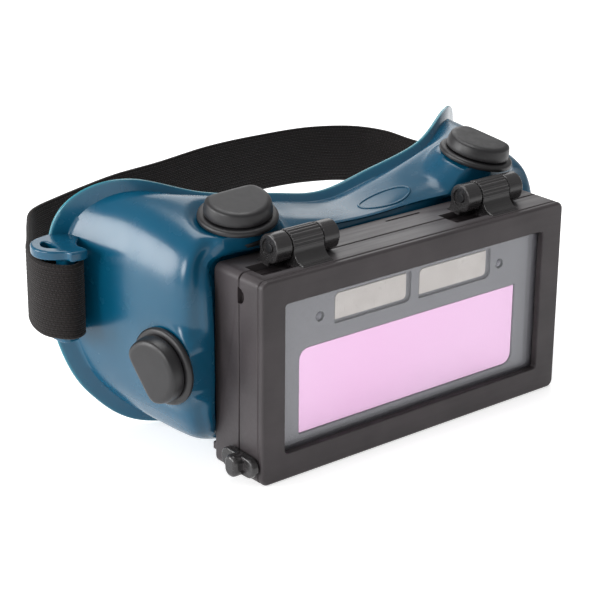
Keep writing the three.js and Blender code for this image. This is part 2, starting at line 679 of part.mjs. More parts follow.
// A ribbon with an upright section that may lean inwards at its upper edge.
function ribbon(points, thickness, low, high) {
  const path = points.map(([x, y, lift]) => new THREE.Vector3(x, y, lift));
  const curve = new THREE.CatmullRomCurve3(path, false, 'centripetal');
  const count = points.length * RIBBON_STEPS;
  const corners = [];
  for (let i = 0; i <= count; i += 1) {
    const point = curve.getPoint(i / count);
    const along = curve.getTangent(i / count).setZ(0).normalize();
    const inward = new THREE.Vector3(along.y, -along.x, 0);
    const place = (i / count) * (points.length - 1);
    const before = Math.min(Math.floor(place), points.length - 2);
    const lean = THREE.MathUtils.lerp(points[before][3], points[before + 1][3], place - before);
    const rise = Math.sqrt((high - low) ** 2 - lean ** 2);
    for (const [across, up] of [[0.5, 0], [0.5, 1], [-0.5, 1], [-0.5, 0]]) {
      const shift = across * thickness + up * lean;
      corners.push(point.x + inward.x * shift, point.y + inward.y * shift, low + point.z + up * rise);
    }
  }
  const index = [];
  for (let i = 0; i < count; i += 1) {
    for (let c = 0; c < 4; c += 1) {
      const a = i * 4 + c;
      const b = i * 4 + ((c + 1) % 4);
      index.push(a, b + 4, b, a, a + 4, b + 4);
    }
  }
  const last = count * 4;
  index.push(0, 1, 2, 0, 2, 3, last, last + 2, last + 1, last, last + 3, last + 2);
  const geometry = new THREE.BufferGeometry();
  geometry.setAttribute('position', new THREE.Float32BufferAttribute(corners, 3));
  geometry.setIndex(index);
  return geometry;
}

function buildStrap() {
  const turn = (side) => lugTurn.map(([x, y]) => [side * x, y, 0, 0]);
  return ribbon([...turn(-1), ...headBand, ...turn(1).reverse()], STRAP_THICK, STRAP_LOW, STRAP_HIGH);
}

// A loop that slides along the straight run behind the right lug.
function buildStrapKeeper() {
  const tall = STRAP_HIGH - STRAP_LOW;
  const ring = new THREE.Shape(roundedRectangle(KEEPER_THICK, tall + 5, 1.4).getPoints(4));
  ring.holes.push(roundedRectangle(KEEPER_THICK - 2.4, tall + 2, 0.6));
  return extrude(ring, KEEPER_LENGTH, 0)
    .translate(0, 0, -KEEPER_LENGTH / 2)
    .rotateX(Math.PI / 2)
    .rotateZ(KEEPER_TURN)
    .translate(...KEEPER_AT);
}

// ---- assembly -----------------------------------------------------------------------------------

addNode('face_mask', buildMask(), 'softTeal');
addNode('rear_frame', buildRearFrame(), 'blackPlastic');
addNode('retaining_frame', frameRing(
  RETAINER_WIDTH, RETAINER_HEIGHT, [SPIGOT_WIDTH + 2 * GAP, SPIGOT_HEIGHT + 2 * GAP], 5,
  OPENING_MID_Z, WALL_FRONT + SHELL + GAP, SPIGOT_END - GAP
), 'blackPlastic');
addNode('inner_lens', sheet(INNER_LENS, 2), 'clear');
addNode('inner_lens_gasket', sheetRing(GASKET, [SIGHT_WIDTH, SIGHT_HEIGHT], 3), 'blackRubber');
addNode('lens_retainer', sheetRing(LENS_RETAINER, [SIGHT_WIDTH, SIGHT_HEIGHT], 3), 'blackPlastic');
addNode('front_frame', buildFrontFrame(), 'blackPlastic');
addNode('front_cover_lens', sheet(COVER_LENS, 1.2), 'clear');
buildFilter();
addNode('filter_retainer', sheetRing(FILTER_RETAINER, RETAINER_OPENING, 2), 'steel');
hingeSpans.forEach(([low, high], i) => {
  addNode(`hinge_pin_${i === 0 ? 'left' : 'right'}`, buildHingePin(low, high), 'steel');
});
addNode('side_latch', buildLatch(), 'blackPlastic');
for (const vent of vents) {
  addNode(`vent_base_${vent.name}`, buildVentBase(vent), 'blackRubber');
  addNode(`vent_cap_${vent.name}`, buildVentCap(vent), 'blackRubber');
}
addNode('head_strap', buildStrap(), 'webbing');
addNode('strap_keeper', buildStrapKeeper(), 'blackPlastic');

// The origin is at the middle of the whole depth.
group.position.y = -TOTAL_DEPTH / 2;

export default group;
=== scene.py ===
"""Looks for the welding goggles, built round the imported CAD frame.

Lengths in the builders are millimetres in the holder's own frame: X across, Y back from the lens
holder's front face, Z up from its lower face. place() turns them into metres in the row frame.
"""

import math

import bmesh
import bpy
from mathutils import Matrix, Vector
from mathutils.bvhtree import BVHTree


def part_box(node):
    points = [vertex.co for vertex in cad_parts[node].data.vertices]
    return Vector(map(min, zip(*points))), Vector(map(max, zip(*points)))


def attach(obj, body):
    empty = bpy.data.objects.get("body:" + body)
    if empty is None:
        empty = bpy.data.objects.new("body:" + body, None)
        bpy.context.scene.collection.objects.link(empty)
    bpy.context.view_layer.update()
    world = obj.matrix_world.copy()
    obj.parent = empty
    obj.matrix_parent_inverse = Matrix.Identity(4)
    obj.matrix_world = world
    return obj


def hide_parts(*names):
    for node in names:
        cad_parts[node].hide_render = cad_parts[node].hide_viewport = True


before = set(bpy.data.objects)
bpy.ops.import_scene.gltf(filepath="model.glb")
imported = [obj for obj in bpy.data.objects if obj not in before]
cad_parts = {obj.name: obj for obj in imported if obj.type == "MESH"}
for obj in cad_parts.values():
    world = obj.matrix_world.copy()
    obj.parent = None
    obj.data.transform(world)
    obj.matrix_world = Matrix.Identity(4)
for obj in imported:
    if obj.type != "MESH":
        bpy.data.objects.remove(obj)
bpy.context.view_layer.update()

MM = 0.001
FRONT_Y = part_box("front_frame")[0].y

# Lens holder, as in the CAD part
HOLDER_WIDTH, HOLDER_HEIGHT, CORNER = 122, 64, 2.4
FRONT_BACK, REAR_FRONT, REAR_BACK = 11.0, 11.3, 23.0
OPENING = (104.8, 47.2)
OPENING_Z = 32.1
POCKET = (110.4, 53)
SIGHT = (100, 40)
SPIGOT = (106.6, 46.6)
SPIGOT_BACK = 29.6
HINGE_Y, HINGE_Z = 11.6, 69.0
HINGE_SPANS = {"left": (-49.8, -26.2), "right": (26.2, 49.8)}
KNUCKLE_WIDTH = 5.8
KNUCKLE_RADIUS = 4.3
PIN_RADIUS = 1.5
CASE = (108, 51)
CASE_FRONT, CASE_BACK = 3.5, 9.0
WINDOW = (88.6, 27.1)
WINDOW_Z = 25.0
CELL = (28.2, 8.2)
CELL_X, CELL_Z = 16.8, 48.9
SENSOR_X, SENSOR_Z = 36.8, 47.3
WALL_FRONT = 24.6
SHELL = 2.4
SIDES = ((-1, "left"), (1, "right"))


def place(point):
    x, y, z = point
    return Vector((x * MM, FRONT_Y + y * MM, z * MM))


def add_object(name, data):
    made = bpy.data.objects.new(name, data)
    bpy.context.scene.collection.objects.link(made)
    return made


# ---- camera ----

CAMERA_LENS = 114.4
CAMERA_AT = (-370.6, -394.7, 253.1)
CAMERA_TURN = (-39.32, 21.12, 0.49)  # azimuth, elevation and roll in degrees


def build_camera():
    data = bpy.data.cameras.new("camera")
    data.sensor_width = 36
    data.lens = CAMERA_LENS
    data.clip_start = 0.01
    camera = add_object("camera", data)
    azimuth, elevation, roll = (math.radians(turn) for turn in CAMERA_TURN)
    back = Vector((
        math.sin(azimuth) * math.cos(elevation),
        -math.cos(azimuth) * math.cos(elevation),
        math.sin(elevation),
    ))
    right = Vector((0, 0, 1)).cross(back).normalized()
    up = back.cross(right)
    turned_right = right * math.cos(roll) + up * math.sin(roll)
    turned_up = up * math.cos(roll) - right * math.sin(roll)
    rotation = Matrix((turned_right, turned_up, back)).transposed().to_4x4()
    camera.matrix_world = Matrix.Translation(place(CAMERA_AT)) @ rotation
    bpy.context.scene.camera = camera


build_camera()


# ---- mesh helpers ----

ROUND_STEPS = 4


def new_mesh(name, verts, faces):
    mesh = bpy.data.meshes.new(name)
    mesh.from_pydata([tuple(v) for v in verts], [], faces)
    return mesh


def clean(mesh):
    """Merges doubled vertices and turns every face outwards."""
    edit = bmesh.new()
    edit.from_mesh(mesh)
    bmesh.ops.remove_doubles(edit, verts=edit.verts, dist=1e-7)
    bmesh.ops.recalc_face_normals(edit, faces=edit.faces)
    edit.to_mesh(mesh)
    edit.free()


def add_piece(name, verts, faces, material, body, slot, replaces, sharp=38):
    return finish_piece(name, new_mesh(name, verts, faces), material, body, slot, replaces, sharp)


def finish_piece(name, mesh, material, body, slot, replaces, sharp=38):
    """A mesh as a piece of the model; edges sharper than this many degrees keep a crisp normal."""
    clean(mesh)
    mesh.shade_smooth()
    mesh.set_sharp_from_angle(angle=math.radians(sharp))
    mesh.materials.clear()
    mesh.materials.append(material)
    piece = add_object(name, mesh)
    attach(piece, body)
    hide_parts(*replaces)
    return piece


def skin(rings, hoop=False):
    """Vertices and faces over rings: closed both ways as a hoop, or capped at its two ends."""
    around, last = len(rings[0]), (len(rings) - 1) * len(rings[0])
    faces = []
    for r in range(len(rings) if hoop else len(rings) - 1):
        here, following = r * around, (r + 1) % len(rings) * around
        for i in range(around):
            j = (i + 1) % around
            faces.append((here + i, here + j, following + j, following + i))
    if not hoop:
        faces.append(tuple(range(around)))
        faces.append(tuple(range(last, last + around)))
    return [p for ring in rings for p in ring], faces


def rounded_rectangle(width, height, radius, steps=6):
    """Points (x, z) round the outline; radius is one number or one for each corner, from top right."""
    radii = radius if isinstance(radius, tuple) else (radius,) * 4
    points = []
    for corner, (sx, sz) in enumerate(((1, 1), (-1, 1), (-1, -1), (1, -1))):
        r = radii[corner]
        cx, cz = sx * (width / 2 - r), sz * (height / 2 - r)
        for i in range(steps + 1):
            angle = math.pi / 2 * (corner + i / steps)
            points.append((cx + r * math.cos(angle), cz + r * math.sin(angle)))
    return points


def rectangle_ring(width, height, radius, y, mid_z=OPENING_Z):
    return [place((x, y, mid_z + z)) for x, z in rounded_rectangle(width, height, radius)]


def inset_outline(points, distance):
    """A closed counter-clockwise outline moved inwards along its own corners' normals."""
    moved = []
    count = len(points)
    for i, (x, y) in enumerate(points):
        before, after = points[i - 1], points[(i + 1) % count]
        along = Vector((after[0] - before[0], after[1] - before[1])).normalized()
        moved.append((x - along.y * distance, y + along.x * distance))
    return moved


def pillow_rings(outline, low, high, rounding, at):
    """Rings of an extrusion of outline from low to high whose rim edges are quarter rounds."""
    angles = [math.pi / 2 * i / ROUND_STEPS for i in range(ROUND_STEPS + 1)]
    turns = [(angle, low, 1) for angle in angles] + [(angle, high, -1) for angle in reversed(angles)]
    rings = []
    for angle, end, inward in turns:
        inset = inset_outline(outline, rounding * (1 - math.sin(angle)))
        height = end + inward * rounding * (1 - math.cos(angle))
        rings.append([at(x, y, height) for x, y in inset])
    return rings


def spline_outline(points, steps):
    """A closed uniform Catmull-Rom curve through 2-D or 3-D points."""
    count = len(points)
    dense = []
    for i in range(count):
        quad = [Vector(points[(i + k - 1) % count]) for k in range(4)]
        dense.extend(catmull(*quad, t / steps) for t in range(steps))
    return dense


def catmull(a, b, c, d, t):
    return 0.5 * (
        2 * b + (c - a) * t + (2 * a - 5 * b + 4 * c - d) * t ** 2 + (3 * b - a - 3 * c + d) * t ** 3
    )


def circle(radius, count):
    return [
        (radius * math.cos(2 * math.pi * i / count), radius * math.sin(2 * math.pi * i / count))
        for i in range(count)
    ]


def smoothstep(low, high, value):
    t = min(max((value - low) / (high - low), 0), 1)
    return t * t * (3 - 2 * t)


def loose_object(verts, faces):
    """A mesh object that isn't a piece, to cut or to be cut."""
    mesh = new_mesh("cutter", verts, faces)
    clean(mesh)
    return add_object("cutter", mesh)


def combined(target, cutter, operation="DIFFERENCE"):
    """target's mesh with cutter taken out of it, or joined to it. The cutter is used up."""
    boolean = target.modifiers.new("cut", "BOOLEAN")
    boolean.operation = operation
    boolean.solver = "EXACT"
    boolean.object = cutter
    mesh = bpy.data.meshes.new_from_object(target.evaluated_get(bpy.context.evaluated_depsgraph_get()))
    target.modifiers.clear()
    bpy.data.objects.remove(cutter)
    return mesh


def carve(verts, faces, cutters, operation="DIFFERENCE"):
    """The mesh of a solid after each (verts, faces) cutter has been taken out of it, or joined to it."""
    target = loose_object(verts, faces)
    for cutter_verts, cutter_faces in cutters:
        target.data = combined(target, loose_object(cutter_verts, cutter_faces), operation)
    mesh = target.data
    bpy.data.objects.remove(target)
    return mesh


def soften_edges(piece, width, segments=2, angle=40):
    """Rounds the crisp edges that are left and keeps large faces flat."""
    bevel = piece.modifiers.new("edges", "BEVEL")
    bevel.width = width * MM
    bevel.segments = segments
    bevel.limit_method = "ANGLE"
    bevel.angle_limit = math.radians(angle)
    bevel.use_clamp_overlap = True
    normals = piece.modifiers.new("normals", "WEIGHTED_NORMAL")
    normals.keep_sharp = True


def plate_solid(width, height, radius, mid_x, mid_z, front, back, rounding=0.0):
    """A plate facing front with its rim edges rounded, as verts and faces."""
    outline = [(mid_x + x, mid_z + z) for x, z in rounded_rectangle(width, height, radius, 5)]
    if rounding == 0:
        return skin([[place((x, y, z)) for x, z in outline] for y in (front, back)])
    return skin(pillow_rings(outline, front, back, rounding, lambda x, z, y: place((x, y, z))))


def along_x(outline, low, high, rounding):
    """An outline in (y, z) drawn out along X."""
    return skin(pillow_rings(outline, low, high, rounding, lambda y, z, x: place((x, y, z))))


def along_z(outline, low, high, rounding):
    """An outline in (x, y) drawn out along Z."""
    return skin(pillow_rings(outline, low, high, rounding, lambda x, y, z: place((x, y, z))))


# ---- materials ----

class Finish:
    """A Principled material with short calls for the nodes that give it detail."""

    def __init__(self, name, base, roughness, **sockets):
        self.material = bpy.data.materials.new(name)
        self.material.use_nodes = True
        self.tree = self.material.node_tree
        self.shader = self.tree.nodes["Principled BSDF"]
        self.shader.inputs["Base Color"].default_value = (*base, 1)
        self.shader.inputs["Roughness"].default_value = roughness
        for socket, value in sockets.items():
            self.shader.inputs[socket.replace("_", " ")].default_value = value
        self.coordinates = self.node("ShaderNodeTexCoord", {}, "Object")

    def feed(self, socket, value):
        """Links socket to another node's output, or gives it a constant."""
        if isinstance(value, bpy.types.NodeSocket):
            self.tree.links.new(value, socket)
        else:
            socket.default_value = value

    def node(self, kind, inputs, output, **settings):
        """The named output of a new node."""
        made = self.tree.nodes.new(kind)
        for key, value in settings.items():
            setattr(made, key, value)
        for key, value in inputs.items():
            self.feed(made.inputs[key], value)
        return made.outputs[output]

    def stretched(self, scale, source=None):
        inputs = {"Scale": scale, "Vector": source or self.coordinates}
        return self.node("ShaderNodeMapping", inputs, "Vector")

    def noise(self, scale, detail=4.0, vector=None):
        inputs = {"Scale": scale, "Detail": detail, "Vector": vector or self.coordinates}
        return self.node("ShaderNodeTexNoise", inputs, "Fac")

    def wave(self, scale, vector, direction="X", distortion=0.0):
        inputs = {"Scale": scale, "Distortion": distortion, "Vector": vector}
        return self.node("ShaderNodeTexWave", inputs, "Fac", bands_direction=direction)

    def spread(self, source, low, high, start=0.3, stop=0.7):
        """source, mostly between start and stop, spread over low to high."""
        inputs = {"Value": source, "From Min": start, "From Max": stop, "To Min": low, "To Max": high}
        return self.node("ShaderNodeMapRange", inputs, "Result")

    def maths(self, operation, a, b):
        return self.node("ShaderNodeMath", {0: a, 1: b}, "Value", operation=operation)

    def mixed(self, factor, first, second):
        """Colours mixed by factor; each is an (r, g, b) or another node's colour."""
        first, second = ((*c, 1) if isinstance(c, tuple) else c for c in (first, second))
        return self.node("ShaderNodeMix", {"Factor": factor, 6: first, 7: second}, 2, data_type="RGBA")

    def edges(self):
        """1 on edges that stick out, 0 elsewhere."""
        return self.spread(self.node("ShaderNodeNewGeometry", {}, "Pointiness"), 0, 1, 0.52, 0.62)

    def drift(self, first, second, scale, detail=4.0):
        """A colour that wanders between two."""
        return self.mixed(self.spread(self.noise(scale, detail), 0, 1), first, second)

    def colour(self, source):
        self.feed(self.shader.inputs["Base Color"], source)

    def roughness(self, source, low, high):
        """Roughness that follows source between low and high."""
        self.feed(self.shader.inputs["Roughness"], self.spread(source, low, high))

    def bump(self, height, depth_mm, strength, before=None):
        inputs = {"Distance": depth_mm * MM, "Strength": strength, "Height": height}
        if before:
            inputs["Normal"] = before
        normal = self.node("ShaderNodeBump", inputs, "Normal")
        self.feed(self.shader.inputs["Normal"], normal)
        return normal


def black_plastic(name="black_plastic", base=(0.0325, 0.0275, 0.0292), gloss=0.4, shine=0.26):
    """Satin moulded plastic with flow streaks along X, a fine grain and paler worn edges."""
    finish = Finish(name, base, gloss, Specular_IOR_Level=shine)
    streaks = finish.noise(1, 3, finish.stretched((35, 900, 900)))
    grain = finish.noise(2600, 2)
    body = finish.drift(base, tuple(c * 1.5 for c in base), 60)
    finish.colour(finish.mixed(finish.edges(), body, (0.076, 0.070, 0.073)))
    finish.roughness(streaks, gloss - 0.07, gloss + 0.09)
    finish.bump(grain, 0.012, 0.6, finish.bump(streaks, 0.01, 0.5))
    return finish.material


def black_rubber():
    """Matte moulded rubber with a fine bloom."""
    finish = Finish("black_rubber", (0.012, 0.0115, 0.0125), 0.42, Specular_IOR_Level=0.45)
    finish.colour(finish.drift((0.0095, 0.009, 0.010), (0.0155, 0.0148, 0.0162), 90, 5))
    finish.roughness(finish.noise(400), 0.36, 0.48)
    finish.bump(finish.noise(3200, 2), 0.014, 0.6)
    return finish.material


def soft_teal():
    """Glossy, slightly see-through soft PVC with a soft ripple; the thin lip is painted a paler cyan that
    stands for light shining through it.
    """
    finish = Finish(
        "soft_teal", (0.001, 0.064, 0.122), 0.24, Subsurface_Weight=0.12, Subsurface_Scale=0.003,
        IOR=1.44, Coat_Weight=0.1, Coat_Roughness=0.1,
    )
    finish.shader.inputs["Subsurface Radius"].default_value = (0.25, 0.8, 1.0)
    body = finish.drift((0.0004, 0.057, 0.112), (0.001, 0.071, 0.134), 22, 3)
    # Painted light: the "thin" attribute mixes in a pale cyan that stands for light shining through the
    # thin lip.
    thin = finish.node("ShaderNodeAttribute", {}, "Fac", attribute_name="thin")
    finish.colour(finish.mixed(thin, body, (0.03, 0.22, 0.27)))
    finish.roughness(finish.noise(140), 0.21, 0.29)
    finish.bump(finish.noise(1500, 2), 0.004, 0.4, finish.bump(finish.noise(45, 2), 0.2, 0.3))
    return finish.material


def filter_grey():
    """The cartridge's grey front, with fine speckle."""
    finish = Finish("filter_grey", (0.2, 0.193, 0.208), 0.4)
    finish.colour(finish.drift((0.188, 0.182, 0.197), (0.215, 0.207, 0.223), 1400, 3))
    finish.roughness(finish.noise(300), 0.34, 0.46)
    finish.bump(finish.noise(2600, 2), 0.01, 0.5)
    return finish.material


def filter_pink():
    """Interference coating: pink with a slow drift of tint."""
    finish = Finish(
        "filter_pink", (0.88, 0.52, 0.78), 0.16, Metallic=0.5, Coat_Weight=0.6, Coat_Roughness=0.03,
    )
    finish.colour(finish.drift((0.88, 0.50, 0.77), (0.89, 0.55, 0.80), 14, 2))
    finish.roughness(finish.noise(90), 0.13, 0.2)
    return finish.material


def solar_cell():
    """Pale amorphous cell with hair-thin lines between its strips."""
    finish = Finish("solar_cell", (0.55, 0.51, 0.46), 0.3, Coat_Weight=0.5, Coat_Roughness=0.08)
    strips = finish.wave(0.5, finish.stretched((900, 900, 900)))
    lines = finish.spread(strips, 1, 0, 0.0, 0.06)
    tone = finish.drift((0.58, 0.52, 0.48), (0.66, 0.60, 0.555), 120, 3)
    finish.colour(finish.mixed(finish.maths("MULTIPLY", lines, 0.35), tone, (0.35, 0.32, 0.29)))
    finish.roughness(finish.noise(500), 0.26, 0.36)
    return finish.material


def sensor():
    """Dark polished epoxy with a faint mottle."""
    finish = Finish("sensor", (0.07, 0.065, 0.09), 0.15, Coat_Weight=0.8, Coat_Roughness=0.05)
    finish.colour(finish.drift((0.06, 0.055, 0.08), (0.09, 0.08, 0.11), 900))
    return finish.material


def clear_plastic():
    """A clear sheet: see-through, with a mirror share that grows towards grazing angles."""
    finish = Finish("clear_plastic", (0.9, 0.93, 0.95), 0.05, Metallic=1.0)
    finish.roughness(finish.noise(160), 0.03, 0.07)
    facing = finish.node("ShaderNodeLayerWeight", {}, "Facing")
    grazing = finish.spread(finish.maths("POWER", facing, 4.0), 0.03, 0.5, 0, 1)
    see_through = finish.node("ShaderNodeBsdfTransparent", {"Color": (0.975, 0.98, 0.985, 1)}, 0)
    mirror = finish.shader.outputs[0]
    mix = finish.node("ShaderNodeMixShader", {0: grazing, 1: see_through, 2: mirror}, 0)
    finish.feed(finish.tree.nodes["Material Output"].inputs["Surface"], mix)
    return finish.material


def steel(name="steel", base=(0.42, 0.42, 0.44), gloss=0.3):
    """Drawn steel with fine scratches along X."""
    finish = Finish(name, base, gloss, Metallic=0.9)
    scratches = finish.noise(1, 5, finish.stretched((120, 3000, 3000)))
    finish.colour(finish.mixed(finish.spread(scratches, 0, 1), tuple(c * 0.75 for c in base), base))
    finish.roughness(scratches, gloss - 0.08, gloss + 0.12)
    finish.bump(scratches, 0.006, 0.6)
    return finish.material


def circuit_board():
    """Green solder mask with wavy copper tracks that stand out a little."""
    finish = Finish("circuit_board", (0.03, 0.16, 0.07), 0.4)
    tracks = finish.spread(finish.wave(0.4, finish.stretched((900, 900, 900)), "Z", 3.0), 0, 1, 0.7, 0.8)
    finish.colour(finish.mixed(tracks, (0.022, 0.13, 0.055), (0.05, 0.24, 0.10)))
    finish.bump(tracks, 0.03, 0.5)
    return finish.material


def webbing():
    """Knitted elastic: ribs along the strap, each crossed by zigzag stitches, with a soft nap, and
    painted shade in the knit's hollows.
    """
    finish = Finish("webbing", (0.014, 0.011, 0.0105), 0.85, Sheen_Weight=0.06, Specular_IOR_Level=0.25)
    uv = finish.node("ShaderNodeUVMap", {}, "UV", uv_map="strap")
    rows = finish.wave(1.0, finish.stretched((0, 4.5, 0), uv), "Y")
    stitches = finish.wave(1.0, finish.stretched((5.2, 2.2, 0), uv), "DIAGONAL", 1.5)
    back_stitches = finish.wave(1.0, finish.stretched((-5.2, 2.2, 0), uv), "DIAGONAL", 1.5)
    knit = finish.maths("MULTIPLY", finish.maths("MAXIMUM", stitches, back_stitches), rows)
    fuzz = finish.noise(3500, 3)
    height = finish.maths("ADD", knit, finish.maths("MULTIPLY", fuzz, 0.5))
    # Painted shade: the knit's hollows are coloured darker than its crests, following the same height as
    # the bump.
    crests = finish.spread(knit, 0, 1, 0.1, 0.9)
    shaded_knit = finish.mixed(crests, (0.003, 0.0022, 0.0022), (0.015, 0.0112, 0.0105))
    nap = finish.spread(finish.noise(60, 3), 0, 0.5)
    finish.colour(finish.mixed(nap, shaded_knit, (0.010, 0.0078, 0.0074)))
    finish.roughness(fuzz, 0.78, 0.95)
    finish.bump(height, 0.22, 0.8)
    return finish.material


BLACK = black_plastic()
SHINY_BLACK = black_plastic("hinge_plastic", (0.017, 0.016, 0.0165), 0.24, 0.5)
RUBBER = black_rubber()
TEAL = soft_teal()
GREY = filter_grey()
PINK = filter_pink()
CELLS = solar_cell()
SENSOR = sensor()
CLEAR = clear_plastic()
STEEL = steel()
DARK_STEEL = steel("dark_steel", (0.05, 0.05, 0.052), 0.35)
BOARD = circuit_board()
WEBBING = webbing()


# ---- lens holder ----

# A profile row is (width, height, corner radius, y, mid height) of one ring of the frame's surface.
MID_Z = HOLDER_HEIGHT / 2
BREAK = 0.5
HINGE_ROOM = 0.3
# Plates are (width, height, corner radius), then the middle's x and z, then front and back y.
RECESS = (14.4, 4.4, 0.4)
TOP_SLOT = (14.1, 1.6, 0.4, 10.05, HOLDER_HEIGHT, 19.5, 20.4)
CLIP, CLIP_X, CLIP_Z, CLIP_Y = (3, 2.6, 0.5), 57.8, 3.9, (22.6, 26.3)


def face_row(y):
    """The outer edge of a flat face, drawn in a little from the sides."""
    return HOLDER_WIDTH - BREAK, HOLDER_HEIGHT - BREAK, CORNER, y, MID_Z


def side_row(y):
    return HOLDER_WIDTH, HOLDER_HEIGHT, CORNER, y, MID_Z


def opening_row(grow, radius, y):
    return OPENING[0] + grow, OPENING[1] + grow, radius, y, OPENING_Z


def hinge_recesses(front, back):
    """The shallow pockets in the top face under the left knuckle of each hinge."""
    lows = [low + 0.6 for low, _ in HINGE_SPANS.values()]
    return [plate_solid(*RECESS, x, HOLDER_HEIGHT, front, back) for x in lows]


def quarter(width, height, radius, y, mid_z, rounding, steps=4, backwards=False):
    """Rings that turn an outer corner of the profile from the side face onto the front (or back) face."""
    rings = []
    for i in range(steps + 1):
        angle = math.pi / 2 * i / steps
        shrink = 2 * rounding * (1 - math.cos(angle))
        depth = rounding * (1 - math.sin(angle))
        at_y = y - depth if backwards else y + depth
        rings.append((width - shrink, height - shrink, radius - shrink / 2, at_y, mid_z))
    return rings


def holder_rings(profile):
    return [rectangle_ring(w, h, r, y, z) for w, h, r, y, z in profile]


FLUTE_DEPTH = 0.32


def outline_with_arc(before, start, stop, after, flutes=0, steps=44):
    """Points, then the knuckle's round from angle start to stop in (y, z), then more points."""
    arc = []
    for i in range(steps + 1):
        angle = math.radians(start + (stop - start) * i / steps)
        radius = KNUCKLE_RADIUS
        if flutes:
            radius += FLUTE_DEPTH * (abs(math.cos(flutes / 2 * angle)) ** 0.7 - 0.5)
        arc.append((HINGE_Y + radius * math.cos(angle), HINGE_Z + radius * math.sin(angle)))
    return list(before) + arc + list(after)


def front_leaf(low, high):
    """The fluted middle knuckle with its leaf sweeping forward onto the front frame."""
    outline = outline_with_arc(
        [(4.2, 63.2), (10.6, 63.2), (10.9, 64.2), (12.2, 64.6)], -60, 184,
        [(7.2, 67.7), (6.9, 66.9), (6.3, 65.9), (5.4, 65.1), (4.3, 64.6), (3.2, 64.4), (3.0, 63.9)],
        flutes=22, steps=110,
    )
    return along_x(outline, low, high, 0.3)


def rear_leaf(low, high):
    """An outer knuckle with its arm down to the rear frame."""
    outline = outline_with_arc(
        [(11.9, 63.2), (17.6, 63.2), (17.5, 64.1), (16.6, 64.6), (16.1, 65.4), (15.9, 66.6)], -18, 205,
        [(7.9, 66.4), (8.5, 65.5), (9.6, 64.8), (11.3, 64.4), (11.6, 64)],
    )
    return along_x(outline, low, high, 0.5)


def knuckle_dimple(x, inward):
    """A shallow round recess into a knuckle's end face at x."""
    outline = [(HINGE_Y + y, HINGE_Z + z) for y, z in circle(2.9, 28)]
    low, high = sorted((x, x + inward * 0.5))
    return along_x(outline, low, high, 0.0)


def build_front_frame():
    profile = [(*POCKET, 1.5, FRONT_BACK, OPENING_Z), face_row(FRONT_BACK), side_row(FRONT_BACK - 0.25)]
    profile += [side_row(2.5), face_row(2.3), face_row(1.95), side_row(1.75)]
    profile += quarter(HOLDER_WIDTH, HOLDER_HEIGHT, CORNER, 0, MID_Z, 0.95)
    profile += [opening_row(0.7, 1.4, 0), opening_row(0.2, 1.2, 0.1), opening_row(0, 1.1, 0.35)]
    profile += [opening_row(-0.2, 1.0, 2.2), (*POCKET, 1.5, 2.2, OPENING_Z)]
    mesh = carve(*skin(holder_rings(profile), hoop=True), [*hinge_recesses(5.4, 12.0), side_hole()])
    shell = finish_piece("front_frame_shell", mesh, BLACK, "flip_front", "black_plastic", ["front_frame"])
    soften_edges(shell, 0.16)
    for side, (low, high) in HINGE_SPANS.items():
        inner = (low + KNUCKLE_WIDTH + HINGE_ROOM, high - KNUCKLE_WIDTH - HINGE_ROOM)
        leaf = add_piece(f"front_hinge_leaf_{side}", *front_leaf(*inner), SHINY_BLACK, "flip_front",
                         "black_plastic", ["front_frame"], sharp=55)
        soften_edges(leaf, 0.08)


def side_hole():
    """The small D-shaped hole where the two frames meet on the left side."""
    outline = [(8.6, 57.2), (9, 55.9), (10, 55), (11.6, 54.8), (11.6, 59.8), (10, 59.4), (9, 58.6)]
    x = -HOLDER_WIDTH / 2
    return along_x(outline, x - 1, x + 1.6, 0.0)


def build_rear_frame():
    lens_seat_y = REAR_BACK - 2.5
    profile = [(*POCKET, 1.5, REAR_FRONT, OPENING_Z), face_row(REAR_FRONT), side_row(REAR_FRONT + 0.25)]
    profile += quarter(HOLDER_WIDTH, HOLDER_HEIGHT, CORNER, REAR_BACK, MID_Z, 0.7, backwards=True)
    profile += [(*SPIGOT, 5, REAR_BACK, OPENING_Z)]
    profile += quarter(*SPIGOT, 5, SPIGOT_BACK, OPENING_Z, 0.4, 2, backwards=True)
    profile += [(*SIGHT, 3, SPIGOT_BACK, OPENING_Z), (*SIGHT, 3, lens_seat_y, OPENING_Z)]
    profile += [(*POCKET, 1.5, lens_seat_y, OPENING_Z)]
    cutters = [plate_solid(*TOP_SLOT), *hinge_recesses(10, 14.2), side_hole()]
    mesh = carve(*skin(holder_rings(profile), hoop=True), cutters)
    shell = finish_piece("rear_frame_shell", mesh, BLACK, "mask", "black_plastic", ["rear_frame"])
    soften_edges(shell, 0.16)
    for sign, side in SIDES:
        solid = plate_solid(*CLIP, sign * CLIP_X, CLIP_Z, *CLIP_Y, 0.3)
        clip = add_piece(f"rear_frame_clip_{side}", *solid, BLACK, "mask", "black_plastic",
                         ["rear_frame"])
        soften_edges(clip, 0.12)
    for side, (low, high) in HINGE_SPANS.items():
        ends = ((low, low + KNUCKLE_WIDTH, low, 1), (high - KNUCKLE_WIDTH, high, high, -1))
        for (start, stop, face, inward), end in zip(ends, ("outer", "inner")):
            mesh = carve(*rear_leaf(start, stop), [knuckle_dimple(face, inward)])
            knuckle = finish_piece(f"rear_hinge_leaf_{side}_{end}", mesh, SHINY_BLACK, "mask",
                                   "black_plastic", ["rear_frame"], sharp=50)
            soften_edges(knuckle, 0.1)
        outline = [(HINGE_Y + y, HINGE_Z + z) for y, z in circle(PIN_RADIUS, 24)]
        pin = add_piece(f"hinge_pin_rod_{side}", *along_x(outline, low + 0.1, high - 0.1, 0.2),
                        DARK_STEEL, "mask", "steel", [f"hinge_pin_{side}"])
        soften_edges(pin, 0.1)


LATCH_Z = 5.8
LATCH_REAR_Y, LATCH_REAR_RADIUS = 13.0, 3.4
LATCH_FRONT_Y, LATCH_FRONT_RADIUS = 3.9, 3.1
LATCH_THICK, LOBE_Y, LOBE_OUT = 2.6, 8.2, 5.7


